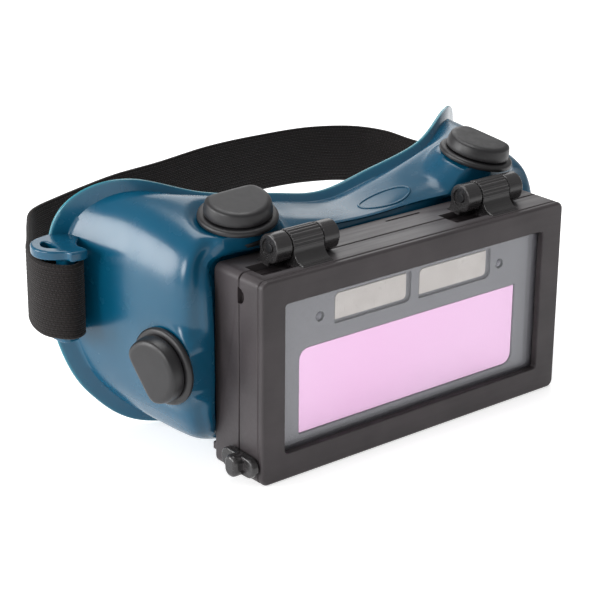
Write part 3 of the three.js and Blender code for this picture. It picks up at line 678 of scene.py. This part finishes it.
def build_latch():
    """A flat tab with two round ends and a raised lobe between them for the thumb."""
    x = -HOLDER_WIDTH / 2 - 0.3
    tab = []
    for centre, radius, start in (
        (LATCH_REAR_Y, LATCH_REAR_RADIUS, -90), (LATCH_FRONT_Y, LATCH_FRONT_RADIUS, 90),
    ):
        for step in range(16):
            angle = math.radians(start + 12 * step)
            tab.append((centre + radius * math.cos(angle), LATCH_Z + radius * math.sin(angle)))
    lobe = [(LOBE_Y + y, LATCH_Z + z) for y, z in rounded_rectangle(5.4, 7, 2.6, 8)]
    lobe_solid = along_x(lobe, x - LOBE_OUT, x - 0.5, 1.3)
    mesh = carve(*along_x(tab, x - LATCH_THICK, x, 0.7), [lobe_solid], "UNION")
    latch = finish_piece("latch_lever", mesh, SHINY_BLACK, "latch", "black_plastic", ["side_latch"],
                         sharp=50)
    soften_edges(latch, 0.3, 3)


build_front_frame()
build_rear_frame()
build_latch()


# ---- filter cartridge ----

# Top right, top left, bottom left, bottom right: two opposite corners are rounded.
WINDOW_CORNERS = (0.4, 3.4, 0.4, 3.4)
CELL_CORNERS = (0.3, 1.6, 0.3, 1.6)
CELL_POCKET_CORNERS = (0.5, 1.8, 0.5, 2.2)
POCKET_DEPTH = (2, 4.4)
SENSOR_PROFILE = ((1.3, 4.8), (1.3, 4.1), (1.15, 3.9), (0.8, 3.78), (0.3, 3.74))


def sensor_ring(sign, radius, y):
    return [place((sign * SENSOR_X + x, y, SENSOR_Z + z)) for x, z in circle(radius, 24)]


def build_cartridge():
    width, height = CASE
    profile = []
    for y, shrink in ((CASE_BACK, 0.6), (CASE_BACK - 0.3, 0), (CASE_FRONT + 0.3, 0), (CASE_FRONT, 0.6)):
        profile.append(rectangle_ring(width - shrink, height - shrink, 2, y))
    for y, grow in ((CASE_FRONT, 0.9), (CASE_FRONT + 0.18, 0.25), (CASE_FRONT + 0.45, 0), (CASE_BACK, 0)):
        profile.append(rectangle_ring(WINDOW[0] + grow, WINDOW[1] + grow, WINDOW_CORNERS, y, WINDOW_Z))
    cutters = []
    for sign, _ in SIDES:
        cell_x, cell_z = sign * CELL_X + 0.8, CELL_Z - 0.45
        cutters.append(plate_solid(
            CELL[0] + 2.2, CELL[1] + 1.5, CELL_POCKET_CORNERS, cell_x, cell_z, *POCKET_DEPTH))
        cutters.append(skin([sensor_ring(sign, 1.6, y) for y in POCKET_DEPTH]))
    mesh = carve(*skin(profile, hoop=True), cutters)
    case = finish_piece("filter_case_shell", mesh, GREY, "flip_front", "grey_plastic", ["filter_case"])
    soften_edges(case, 0.2)
    pane = plate_solid(WINDOW[0] - 0.3, WINDOW[1] - 0.3, WINDOW_CORNERS, 0, WINDOW_Z, 4.0, 5.6, 0.12)
    glass = add_piece("filter_glass_pane", *pane, PINK, "flip_front", "filter_pink", ["filter_glass"])
    soften_edges(glass, 0.05)
    for sign, side in SIDES:
        pane = plate_solid(*CELL, CELL_CORNERS, sign * CELL_X, CELL_Z, 3.7, 4.7, 0.12)
        cell = add_piece(f"solar_cell_pane_{side}", *pane, CELLS, "flip_front", "solar_cell",
                         [f"solar_cell_{side}"])
        soften_edges(cell, 0.05)
        rings = [sensor_ring(sign, radius, y) for radius, y in SENSOR_PROFILE]
        add_piece(f"light_sensor_dome_{side}", *skin(rings), SENSOR, "flip_front", "sensor",
                  [f"light_sensor_{side}"])


build_cartridge()


def dress(node, material):
    """A CAD piece that keeps its shape: its material, and its crisp edges rounded."""
    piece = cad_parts[node]
    piece.data.materials.clear()
    piece.data.materials.append(material)
    piece.data.shade_flat()
    soften_edges(piece, 0.25)


for node, material in (
    ("retaining_frame", BLACK), ("inner_lens", CLEAR), ("inner_lens_gasket", RUBBER),
    ("lens_retainer", BLACK), ("front_cover_lens", CLEAR), ("filter_rear_glass", CLEAR),
    ("control_circuit", BOARD), ("filter_retainer", STEEL),
):
    dress(node, material)


# ---- face mask ----

MASK_LOOK = (TEAL, "mask", "soft_teal", ["face_mask"])

# The same control rings as the CAD mask. Each half ring goes from the top centre, round the +X side,
# to the bottom centre, as (x, z) pairs.
OPENING_HALF = [
    (0, 57), (20, 57), (42, 57), (50, 56.4), (53.4, 53.4), (54, 47),
    (54, 39), (54, 24), (53, 12), (49, 8.6), (30, 8), (0, 8),
]
COLLAR_ROOT_HALF = [
    (0, 63.5), (22, 63.9), (44, 64.4), (53.4, 64.4), (60, 62.4), (62, 56),
    (62.2, 45), (62, 29), (60.6, 16), (54.5, 7), (30, 4.6), (0, 5),
]
COLLAR_INNER_HALF = [
    (0, 64.6), (22, 65.2), (45, 66.2), (55.6, 65.9), (61.7, 63.6), (63, 56),
    (63.2, 45), (63, 29), (62, 15.5), (56, 7.4), (30.5, 3.2), (0, 3.8),
]
COLLAR_OUTER_HALF = [
    (0, 65.6), (22, 66.4), (46.5, 68.6), (57.6, 68.2), (64.2, 64.8), (66.4, 57),
    (66.8, 45), (66.6, 29), (65, 14.8), (58, 6.2), (31, 1.8), (0, 2.6),
]
FRONT_BODY_HALF = [
    (0, 65.8), (21, 68), (46, 73.6), (59.2, 73.6), (67.5, 68.9), (71.9, 59.4),
    (73, 45), (72, 28.4), (69, 13.2), (60.2, 5), (32, 2.2), (0, 4),
]
REAR_BODY_HALF = [
    (0, 66), (20, 69), (45, 75.6), (60.5, 77), (70, 73), (75.6, 62),
    (77, 46), (75, 27.6), (69.9, 12.2), (60, 4.2), (32, 3), (0, 14),
]
CREASE_HALF = [
    (0, 65), (20, 68.2), (43.5, 72.8), (62, 77.2), (72.4, 73.8), (78.8, 64.4),
    (80.4, 48), (78.4, 28.4), (72.2, 13.4), (60, 4.4), (33, 4.6), (0, 18.6),
]
LIP_HALF = [
    (0, 67), (20, 70.3), (44, 74.8), (64, 80.6), (76, 77), (82.8, 66.5),
    (84.5, 48), (82.5, 27), (75.8, 10.8), (62, 1.2), (32, 2.6), (0, 21),
]
COLLAR_Y = [25.2, 25.2, 20, 21.5, 23.8, 21.6, 20.5, 20.5, 21.6, 25, 25.2, 25.2]
FRONT_BODY_Y = [30, 30, 30, 28, 26.4, 26, 26, 26, 27, 30, 31, 31]
REAR_BODY_Y = [40, 41, 43, 46, 49, 51, 52, 51, 48, 44, 41, 40]
RING_STEPS = 12
LOFT_STEPS = 12

# Vents: centre and outward normal of each seat, and the way the cap's flat side looks.
VENTS = {
    "top_left": ((-48.6, 27.6, 73.4), (-0.1, -0.16, 0.98), (0.1, 1, 0.3)),
    "top_right": ((47.6, 27.4, 74.4), (0.14, -0.2, 0.97), (0.95, 0.3, 0)),
    "side_left": ((-73.6, 29.6, 32.8), (-0.98, -0.14, -0.06), (0, 0.83, -0.56)),
    "side_right": ((73.6, 29.6, 32.8), (0.98, -0.14, -0.06), (0, 0.83, -0.56)),
}
BOSS_RADIUS = 11.6
BOSS_FOOT = 15.5
BOSS_REACH = 14
VENT_HOLE = 8.5


def flange_y(x):
    return 49.2 + 0.00915 * max(0, abs(x) - 29.5) ** 2


def mask_ring(half, depth):
    """A half ring and its mirror image as a smooth closed ring; depth is a list of y or a rule of x."""
    right = [Vector((x, depth(x) if callable(depth) else depth[i], z)) for i, (x, z) in enumerate(half)]
    left = [Vector((-p.x, p.y, p.z)) for p in reversed(right[1:-1])]
    return spline_outline(right + left, RING_STEPS)


def inset_ring(ring, distance, backward):
    """Moved inwards in XZ and back in y. The ring runs clockwise seen from the front."""
    moved = []
    for i, point in enumerate(ring):
        along = ring[(i + 1) % len(ring)] - ring[i - 1]
        step = distance / math.hypot(along.x, along.z)
        moved.append(point + Vector((along.z * step, backward, -along.x * step)))
    return moved


def flat_ring(ring, y):
    return [Vector((p.x, y, p.z)) for p in ring]


def loft_between(rings):
    """Rings between the ones given, on a smooth open curve through each matching row of points."""
    before = [2 * a - b for a, b in zip(rings[0], rings[1])]
    after = [2 * a - b for a, b in zip(rings[-1], rings[-2])]
    padded = [before, *rings, after]
    lofted = []
    for r in range(len(rings) - 1):
        for t in range(LOFT_STEPS):
            lofted.append([catmull(*row, t / LOFT_STEPS) for row in zip(*padded[r:r + 4])])
    lofted.append(rings[-1])
    return lofted


def vent_basis(vent):
    centre, normal, faces = (Vector(v) for v in VENTS[vent])
    up = normal.normalized()
    across = up.cross(faces).normalized()
    along = across.cross(up)
    return centre, along, across, up


def seated(point, sheet_offset):
    """point moved onto a vent's flat seat where it is near one; the seat's edge is a steep fillet."""
    for vent in VENTS:
        centre, along, across, up = vent_basis(vent)
        local = point - centre
        height = local.dot(up)
        radius = math.hypot(local.dot(along), local.dot(across))
        if abs(height) > BOSS_REACH or radius > BOSS_FOOT:
            continue
        share = 1 - smoothstep(BOSS_RADIUS, BOSS_FOOT, radius)
        point = point + up * (share * (sheet_offset - height))
    return point


def vent_ring(vent, radius, height, count):
    centre, along, across, up = vent_basis(vent)
    return [place(centre + along * x + across * y + up * height) for x, y in circle(radius, count)]


def build_mask():
    """One closed skin: opening, collar, outside, flange, lip and back along the inside.

    The point attribute "thin" says how far the colour goes towards the pale cyan of the lip: painted
    light shining through the thin lip.
    """
    opening = mask_ring(OPENING_HALF, lambda x: WALL_FRONT)
    collar_root = mask_ring(COLLAR_ROOT_HALF, lambda x: WALL_FRONT)
    collar_inner = mask_ring(COLLAR_INNER_HALF, [y - 0.3 for y in COLLAR_Y])
    collar_outer = mask_ring(COLLAR_OUTER_HALF, COLLAR_Y)
    front_body = mask_ring(FRONT_BODY_HALF, FRONT_BODY_Y)
    rear_body = mask_ring(REAR_BODY_HALF, REAR_BODY_Y)
    crease = mask_ring(CREASE_HALF, lambda x: flange_y(x * 1.05) - 3.4)
    lip = mask_ring(LIP_HALF, lambda x: flange_y(x) - 0.8)
    collar_edge = [(a + b) / 2 + Vector((0, -0.7, 0)) for a, b in zip(collar_inner, collar_outer)]
    collar_edge = inset_ring(collar_edge, -0.15, 0)
    outside = loft_between([collar_outer, front_body, rear_body, crease])
    outside = [[seated(p, 0) for p in ring] for ring in outside]
    flange = [[a.lerp(b, t) for a, b in zip(crease, lip)] for t in (0.12, 0.35, 0.62, 0.85)]
    lip_edge = inset_ring(lip, -0.12, 0.75)
    lip_back = inset_ring(lip, 0.35, 1.5)
    inside = loft_between([
        inset_ring(crease, SHELL, 2.2),
        inset_ring(rear_body, SHELL, 0.6),
        flat_ring(inset_ring(front_body, SHELL, 0), WALL_FRONT + SHELL),
    ])
    inside = [[seated(p, -SHELL) for p in ring] for ring in inside]
    opening_back = flat_ring(opening, WALL_FRONT + SHELL)
    collar = [[a.lerp(b, t) for a, b in zip(collar_root, collar_inner)] for t in (0.3, 0.65)]
    front = [opening, collar_root, *collar, collar_inner, collar_edge, *outside]
    # The number with each ring is its share of that painted through-light colour.
    layers = [(ring, 0.0) for ring in front] + list(zip(flange, (0.0, 0.0, 0.02, 0.06)))
    layers += [(lip, 0.35), (lip_edge, 1.0), (lip_back, 0.4)]
    layers += [(ring, 0.0) for ring in [*inside, opening_back]]
    mesh = new_mesh("mask_skin", *skin([[place(p) for p in ring] for ring, _ in layers], hoop=True))
    thin = [share for ring, share in layers for _ in ring]
    mesh.attributes.new("thin", "FLOAT", "POINT").data.foreach_set("value", thin)
    body = add_object("mask_skin", mesh)
    for vent in VENTS:
        hole = [vent_ring(vent, VENT_HOLE, height, 32) for height in (-7, 3)]
        body.data = combined(body, loose_object(*skin(hole)))
    mesh = body.data
    bpy.data.objects.remove(body)
    return finish_piece("mask_shell", mesh, *MASK_LOOK, sharp=50)


BADGE_X, BADGE_Y = 12.0, 31.0
BADGE_HALF = (10, 4.2)
BADGE_STEPS = 72


def build_badge(mask):
    """A plain raised oval on the middle of the mask's top."""
    tree = BVHTree.FromObject(mask, bpy.context.evaluated_depsgraph_get())
    spine = []
    for x, y in circle(1, BADGE_STEPS):
        above = place((BADGE_X + BADGE_HALF[0] * x, BADGE_Y + BADGE_HALF[1] * y, 90))
        spine.append(tree.ray_cast(above, Vector((0, 0, -1)))[0])
    rings = []
    for i, point in enumerate(spine):
        along = (spine[(i + 1) % BADGE_STEPS] - spine[i - 1]).normalized()
        side = along.cross(Vector((0, 0, 1))).normalized()
        rings.append([
            point + side * 0.45 * MM * out + Vector((0, 0, 1)) * 0.3 * MM * rise
            for out, rise in circle(1, 10)
        ])
    add_piece("mask_badge", *skin(rings, hoop=True), *MASK_LOOK, sharp=180)


# ---- strap lugs ----

UPPER_LUG = [
    (76, 71), (80, 66), (82.4, 62), (82.4, 56.6), (87.8, 56.6), (88.6, 59),
    (92, 61.5), (94.2, 65), (94.2, 69), (92, 73), (88, 75), (81.5, 75.4),
]
UPPER_LUG_SLOT = [(88.4, 63), (91, 65), (91.6, 67.5), (90.2, 70.2), (88.2, 70.2)]
LOWER_LUG = [
    (76, 71), (80, 66), (83.4, 61.5), (88, 60.6), (89.4, 64), (89.4, 70), (88, 74.4), (81.5, 75.4),
]
LUG_LOW, LUG_HIGH = 33.2, 63.2
UPPER_LUG_PLATE, LOWER_LUG_PLATE = 3.0, 1.8
# Middle (x, y), then (width, depth, corner radius)
FRONT_BAR = ((86, 63), (4.8, 5.6, 1.4))
BACK_BAR = ((86.8, 73.2), (5.6, 2.8, 1.2))


def build_lug(sign, side):
    """Two plates over and under the strap, joined by the bars that it wraps."""
    def facing(points):
        turned = [(sign * x, y) for x, y in points]
        return turned if sign > 0 else turned[::-1]

    def curved(points, steps):
        return [tuple(p) for p in spline_outline(facing(points), steps)]

    def bar(mid, size):
        outline = [(mid[0] + x, mid[1] + y) for x, y in rounded_rectangle(*size)]
        return along_z(facing(outline), LUG_LOW + 0.4, LUG_HIGH - 0.5, 0.0)

    def add(name, mesh, rounding):
        piece = finish_piece(f"strap_lug_{side}_{name}", mesh, *MASK_LOOK, sharp=50)
        soften_edges(piece, rounding, 3)

    plate_low = LUG_HIGH - UPPER_LUG_PLATE
    slot = along_z(curved(UPPER_LUG_SLOT, 3), plate_low - 1, LUG_HIGH + 1, 0)
    add("upper", carve(*along_z(curved(UPPER_LUG, 4), plate_low, LUG_HIGH, 0.7), [slot]), 0.35)
    plate = along_z(curved(LOWER_LUG, 4), LUG_LOW, LUG_LOW + LOWER_LUG_PLATE, 0.4)
    add("lower", carve(*plate, [bar(*FRONT_BAR)], "UNION"), 0.2)
    add_piece(f"strap_lug_{side}_bar", *bar(*BACK_BAR), *MASK_LOOK)


build_badge(build_mask())
for sign, side in SIDES:
    build_lug(sign, side)


# ---- vents ----

# (radius, height over the seat) round the base's section: inner lip, neck, rim and seat for the cap
BASE_PROFILE = [
    (6.8, -4.6), (9.4, -4.6), (9.7, -4.3), (9.8, -3.4), (9.6, -3.2), (8.2, -3.0), (8.2, 0.2),
    (8.5, 0.3), (11.5, 0.3), (11.9, 0.45), (12.1, 0.8), (12.1, 1.4), (11.95, 1.8), (11.6, 2.1),
    (11.1, 2.25), (10.6, 2.3), (7.0, 2.3), (6.8, 2.2),
]
HOOD_RADIUS, HOOD_CHORD, HOOD_FROM, HOOD_HEIGHT, HOOD_SLOPE = 10.5, 6.4, 2.6, 5.2, 0.05
HOOD_ROUNDING, HOOD_DRAFT = 1.9, 0.45


def build_vent_base(vent):
    rings = [vent_ring(vent, radius, height, 56) for radius, height in BASE_PROFILE]
    piece = add_piece(f"vent_rim_{vent}", *skin(rings, hoop=True), RUBBER, "mask", "black_rubber",
                      [f"vent_base_{vent}"], sharp=60)
    soften_edges(piece, 0.12, 2, 50)


def hood_outline():
    """A D: an arc closed by a chord at +X, its corners rounded by averaging."""
    half = math.acos(HOOD_CHORD / HOOD_RADIUS)
    raw = []
    for i in range(41):
        angle = half + (2 * math.pi - 2 * half) * i / 40
        raw.append(Vector((HOOD_RADIUS * math.cos(angle), HOOD_RADIUS * math.sin(angle))))
    reach = HOOD_RADIUS * math.sin(half)
    for i in range(1, 12):
        raw.append(Vector((HOOD_CHORD, -reach + 2 * reach * i / 12)))
    for _ in range(5):
        raw = [(raw[i - 1] + raw[i] * 2 + raw[(i + 1) % len(raw)]) / 4 for i in range(len(raw))]
    return [(p.x, p.y) for p in raw]


def build_vent_cap(vent):
    """A D-shaped hood, tallest along its flat side, rounded over on top, with an air slot."""
    centre, along, across, up = vent_basis(vent)
    outline = hood_outline()

    def ring(shrink, level, share=1):
        """The outline drawn in by shrink, at a level from 0 at the rim to 1 on the sloping top."""
        points = [(x * share, y * share) for x, y in inset_outline(outline, shrink)]
        tops = [HOOD_HEIGHT - 0.2 + (x - HOOD_CHORD) * math.tan(HOOD_SLOPE) for x, _ in points]
        return [
            place(centre + along * x + across * y + up * (HOOD_FROM + level * top))
            for (x, y), top in zip(points, tops)
        ]

    rings = [ring(0.25, 0)]
    rings += [ring(0.9 * max(0, level - 0.1) ** 2, level) for level in (0.06, 0.3, 0.55)]
    for i in range(8):
        angle = math.pi / 2 * i / 7
        shrink = HOOD_DRAFT + HOOD_ROUNDING * (1 - math.cos(angle))
        rings.append(ring(shrink, 0.74 + 0.26 * math.sin(angle)))
    rings += [ring(HOOD_DRAFT + HOOD_ROUNDING, 1.0, share) for share in (0.8, 0.5, 0.2)]
    slot = []
    for x in (HOOD_CHORD - 2.5, HOOD_CHORD + 2):
        slot.append([
            place(centre + along * x + across * y + up * (HOOD_FROM + 1.0 + height))
            for y, height in rounded_rectangle(11, 1.9, 0.9)
        ])
    mesh = carve(*skin(rings), [skin(slot)])
    piece = finish_piece(f"vent_hood_{vent}", mesh, RUBBER, "mask", "black_rubber",
                         [f"vent_cap_{vent}"], sharp=60)
    soften_edges(piece, 0.15, 2, 50)


for vent in VENTS:
    build_vent_base(vent)
    build_vent_cap(vent)


# ---- head strap ----

STRAP_THICK, STRAP_LOW, STRAP_HIGH = 1.6, 35.5, 59.0
STRAP_WIDE = STRAP_HIGH - STRAP_LOW
RIB_COUNT = 17
RIB_DEPTH = 0.13
RING_SPACING = 1.6
MM_PER_UV = 10

# The strap's middle line seen from above, the same route as the CAD strap. The band's points are
# (x, y, lift of the lower edge, inward lean of the upper edge).
LUG_TURN = [
    (90.2, 69), (86, 68.8), (82.6, 66.4), (81.9, 62.4),
    (83.4, 58.9), (87.2, 57.6), (90.6, 60.4), (92.6, 65),
]
HEAD_BAND = [
    (-92.6, 70.5, 0.3, 0), (-90.2, 77.5, 0.6, 0), (-84.8, 86, 0.7, 0), (-77.4, 98, 0.7, 0),
    (-71.6, 106.6, 0.7, 0.2), (-67, 110, 0.8, 0.5), (-58.4, 113.6, 1, 1), (-46, 118, 1.2, 1.4),
    (-29.4, 122.8, 1.3, 1.5), (-9.9, 126.4, 1.4, 2.5), (13, 129.4, 2.9, 4), (35, 130, 3.6, 5.5),
    (57, 126.5, 4, 6), (73.5, 118, 3.6, 6), (81, 106.5, 1.6, 3), (84.6, 95, -1, 0.6),
    (89.8, 81, -1, 0), (93.4, 70.5, 0, 0),
]


def even_curve(points, spacing):
    """Points at an even spacing along a centripetal curve through points."""
    ends = [2 * points[0] - points[1]] + points + [2 * points[-1] - points[-2]]
    fine = []
    for i in range(len(points) - 1):
        quad = ends[i:i + 4]
        knots = [0.0]
        for a, b in zip(quad, quad[1:]):
            knots.append(knots[-1] + (b - a).length ** 0.5)
        for step in range(40):
            fine.append(centripetal(quad, knots, knots[1] + (knots[2] - knots[1]) * step / 40))
    fine.append(points[-1])
    lengths = [0.0]
    for a, b in zip(fine, fine[1:]):
        lengths.append(lengths[-1] + (b - a).length)
    count = round(lengths[-1] / spacing)
    even, k = [], 0
    for i in range(count + 1):
        wanted = lengths[-1] * i / count
        while k < len(lengths) - 2 and lengths[k + 1] < wanted:
            k += 1
        share = (wanted - lengths[k]) / (lengths[k + 1] - lengths[k])
        even.append((fine[k].lerp(fine[k + 1], share), wanted))
    return even


def centripetal(quad, knots, t):
    """The point at t on a Catmull-Rom curve, blended pair by pair down to one (Barry and Goldman)."""
    level = list(quad)
    for spans in (((0, 1), (1, 2), (2, 3)), ((0, 2), (1, 3)), ((1, 2),)):
        level = [
            a.lerp(b, (t - knots[start]) / (knots[stop] - knots[start]))
            for a, b, (start, stop) in zip(level, level[1:], spans)
        ]
    return level[0]


def strap_section():
    """The ribbed outline of the strap as (distance from its middle line, share of its width)."""
    section = []
    samples = RIB_COUNT * 4
    for face, order in ((1, range(samples + 1)), (-1, range(samples, -1, -1))):
        for k in order:
            share = k / samples
            rib = RIB_DEPTH * abs(math.sin(math.pi * RIB_COUNT * share))
            edge = min(share, 1 - share) * STRAP_WIDE
            half = (STRAP_THICK / 2 - RIB_DEPTH) * min(1, 0.55 + edge / 1.2) + rib
            section.append((face * half, share))
    return section


def build_strap():
    turn = [Vector((x, y, 0, 0)) for x, y in LUG_TURN]
    mirrored_turn = [Vector((-p.x, p.y, 0, 0)) for p in turn]
    route = mirrored_turn + [Vector(p) for p in HEAD_BAND] + turn[::-1]
    path = even_curve(route, RING_SPACING)
    section = strap_section()
    rings = []
    for i, (point, _) in enumerate(path):
        along = (path[min(i + 1, len(path) - 1)][0] - path[max(i - 1, 0)][0]).xy.normalized()
        side = Vector((along.y, -along.x))
        lift, lean = point.z, point.w
        rise = math.sqrt(STRAP_WIDE ** 2 - lean ** 2)
        ring = []
        for offset, share in section:
            at = point.xy + side * (offset + lean * share)
            ring.append(place((at.x, at.y, STRAP_LOW + lift + rise * share)))
        rings.append(ring)
    mesh = new_mesh("strap_band", *skin(rings))
    layer = mesh.uv_layers.new(name="strap")
    for loop in mesh.loops:
        ring, k = divmod(loop.vertex_index, len(section))
        layer.data[loop.index].uv = (path[ring][1] / MM_PER_UV, section[k][1] * STRAP_WIDE / MM_PER_UV)
    finish_piece("strap_band", mesh, WEBBING, "mask", "webbing", ["head_strap"], sharp=70)


KEEPER_MIDDLE = (87.3, 87.8, 46)
KEEPER_TURN = 0.39
# From its middle to one face: (width, height over the strap's, corner radius, distance along the strap)
KEEPER_HALF = [
    (6.6, 5.1, 1.5, 0), (6.4, 5, 1.4, 2.7), (6, 4.6, 1.3, 3), (4.2, 2.2, 0.7, 3), (4, 2, 0.6, 2.9),
]


def build_keeper():
    """A moulded loop round the strap, a little bowed, with rounded edges."""
    across = Vector((math.cos(KEEPER_TURN), math.sin(KEEPER_TURN), 0))
    along = Vector((-math.sin(KEEPER_TURN), math.cos(KEEPER_TURN), 0))
    mirrored = [(*row, -depth) for *row, depth in KEEPER_HALF[:0:-1]]
    rings = []
    for width, taller, radius, depth in mirrored + KEEPER_HALF:
        rings.append([
            place(Vector(KEEPER_MIDDLE) + across * x + along * depth + Vector((0, 0, z)))
            for x, z in rounded_rectangle(width, STRAP_WIDE + taller, radius)
        ])
    piece = add_piece("keeper_loop", *skin(rings, hoop=True), BLACK, "keeper", "black_plastic",
                      ["strap_keeper"])
    soften_edges(piece, 0.15)


build_strap()
build_keeper()


# ---- floor and lights ----

FLOOR_HALF = 6.0
WORLD_STRENGTH, FLOOR_GLOW = 0.42, 0.58
AIM = (0, 0, 0.04)
# name, place and disc size in metres, and power in watts
SOFTBOXES = (
    ("key", (-1.24, 0.72, 0.4), 0.75, 14),
    ("back", (0.9, 1.1, 0.75), 0.9, 3),
    ("left", (-1.4, -0.12, 0.5), 0.5, 9),
    ("overhead", (0.1, 0.3, 1.5), 1.0, 12),
)


def build_floor():
    corners = [(FLOOR_HALF * x, FLOOR_HALF * y, 0) for x, y in ((-1, -1), (1, -1), (1, 1), (-1, 1))]
    mesh = new_mesh("floor", corners, [(0, 1, 2, 3)])
    floor = add_object("floor", mesh)
    finish = Finish(
        "studio_floor", (0.8, 0.8, 0.8), 0.8, Emission_Color=(1, 1, 1, 1), Emission_Strength=FLOOR_GLOW,
    )
    mesh.materials.append(finish.material)


def add_softbox(name, location, size, power):
    data = bpy.data.lights.new(name, "AREA")
    data.shape = "DISK"
    data.size = size
    data.energy = power
    lamp = add_object(name, data)
    lamp.location = location
    lamp.rotation_euler = (Vector(AIM) - Vector(location)).to_track_quat("-Z", "Y").to_euler()


def build_world():
    """Soft light from all round for everything, and a plain white backdrop for the camera alone."""
    world = bpy.data.worlds.new("studio")
    bpy.context.scene.world = world
    world.use_nodes = True
    nodes, links = world.node_tree.nodes, world.node_tree.links
    nodes["Background"].inputs["Color"].default_value = (1, 1, 1, 1)
    nodes["Background"].inputs["Strength"].default_value = WORLD_STRENGTH
    backdrop = nodes.new("ShaderNodeBackground")
    backdrop.inputs["Strength"].default_value = 1.0
    path = nodes.new("ShaderNodeLightPath")
    mix = nodes.new("ShaderNodeMixShader")
    links.new(path.outputs["Is Camera Ray"], mix.inputs[0])
    links.new(nodes["Background"].outputs[0], mix.inputs[1])
    links.new(backdrop.outputs[0], mix.inputs[2])
    links.new(mix.outputs[0], nodes["World Output"].inputs["Surface"])
    bpy.context.scene.view_settings.view_transform = "Standard"
    bpy.context.scene.view_settings.look = "None"


build_floor()
build_world()
for softbox in SOFTBOXES:
    add_softbox(*softbox)
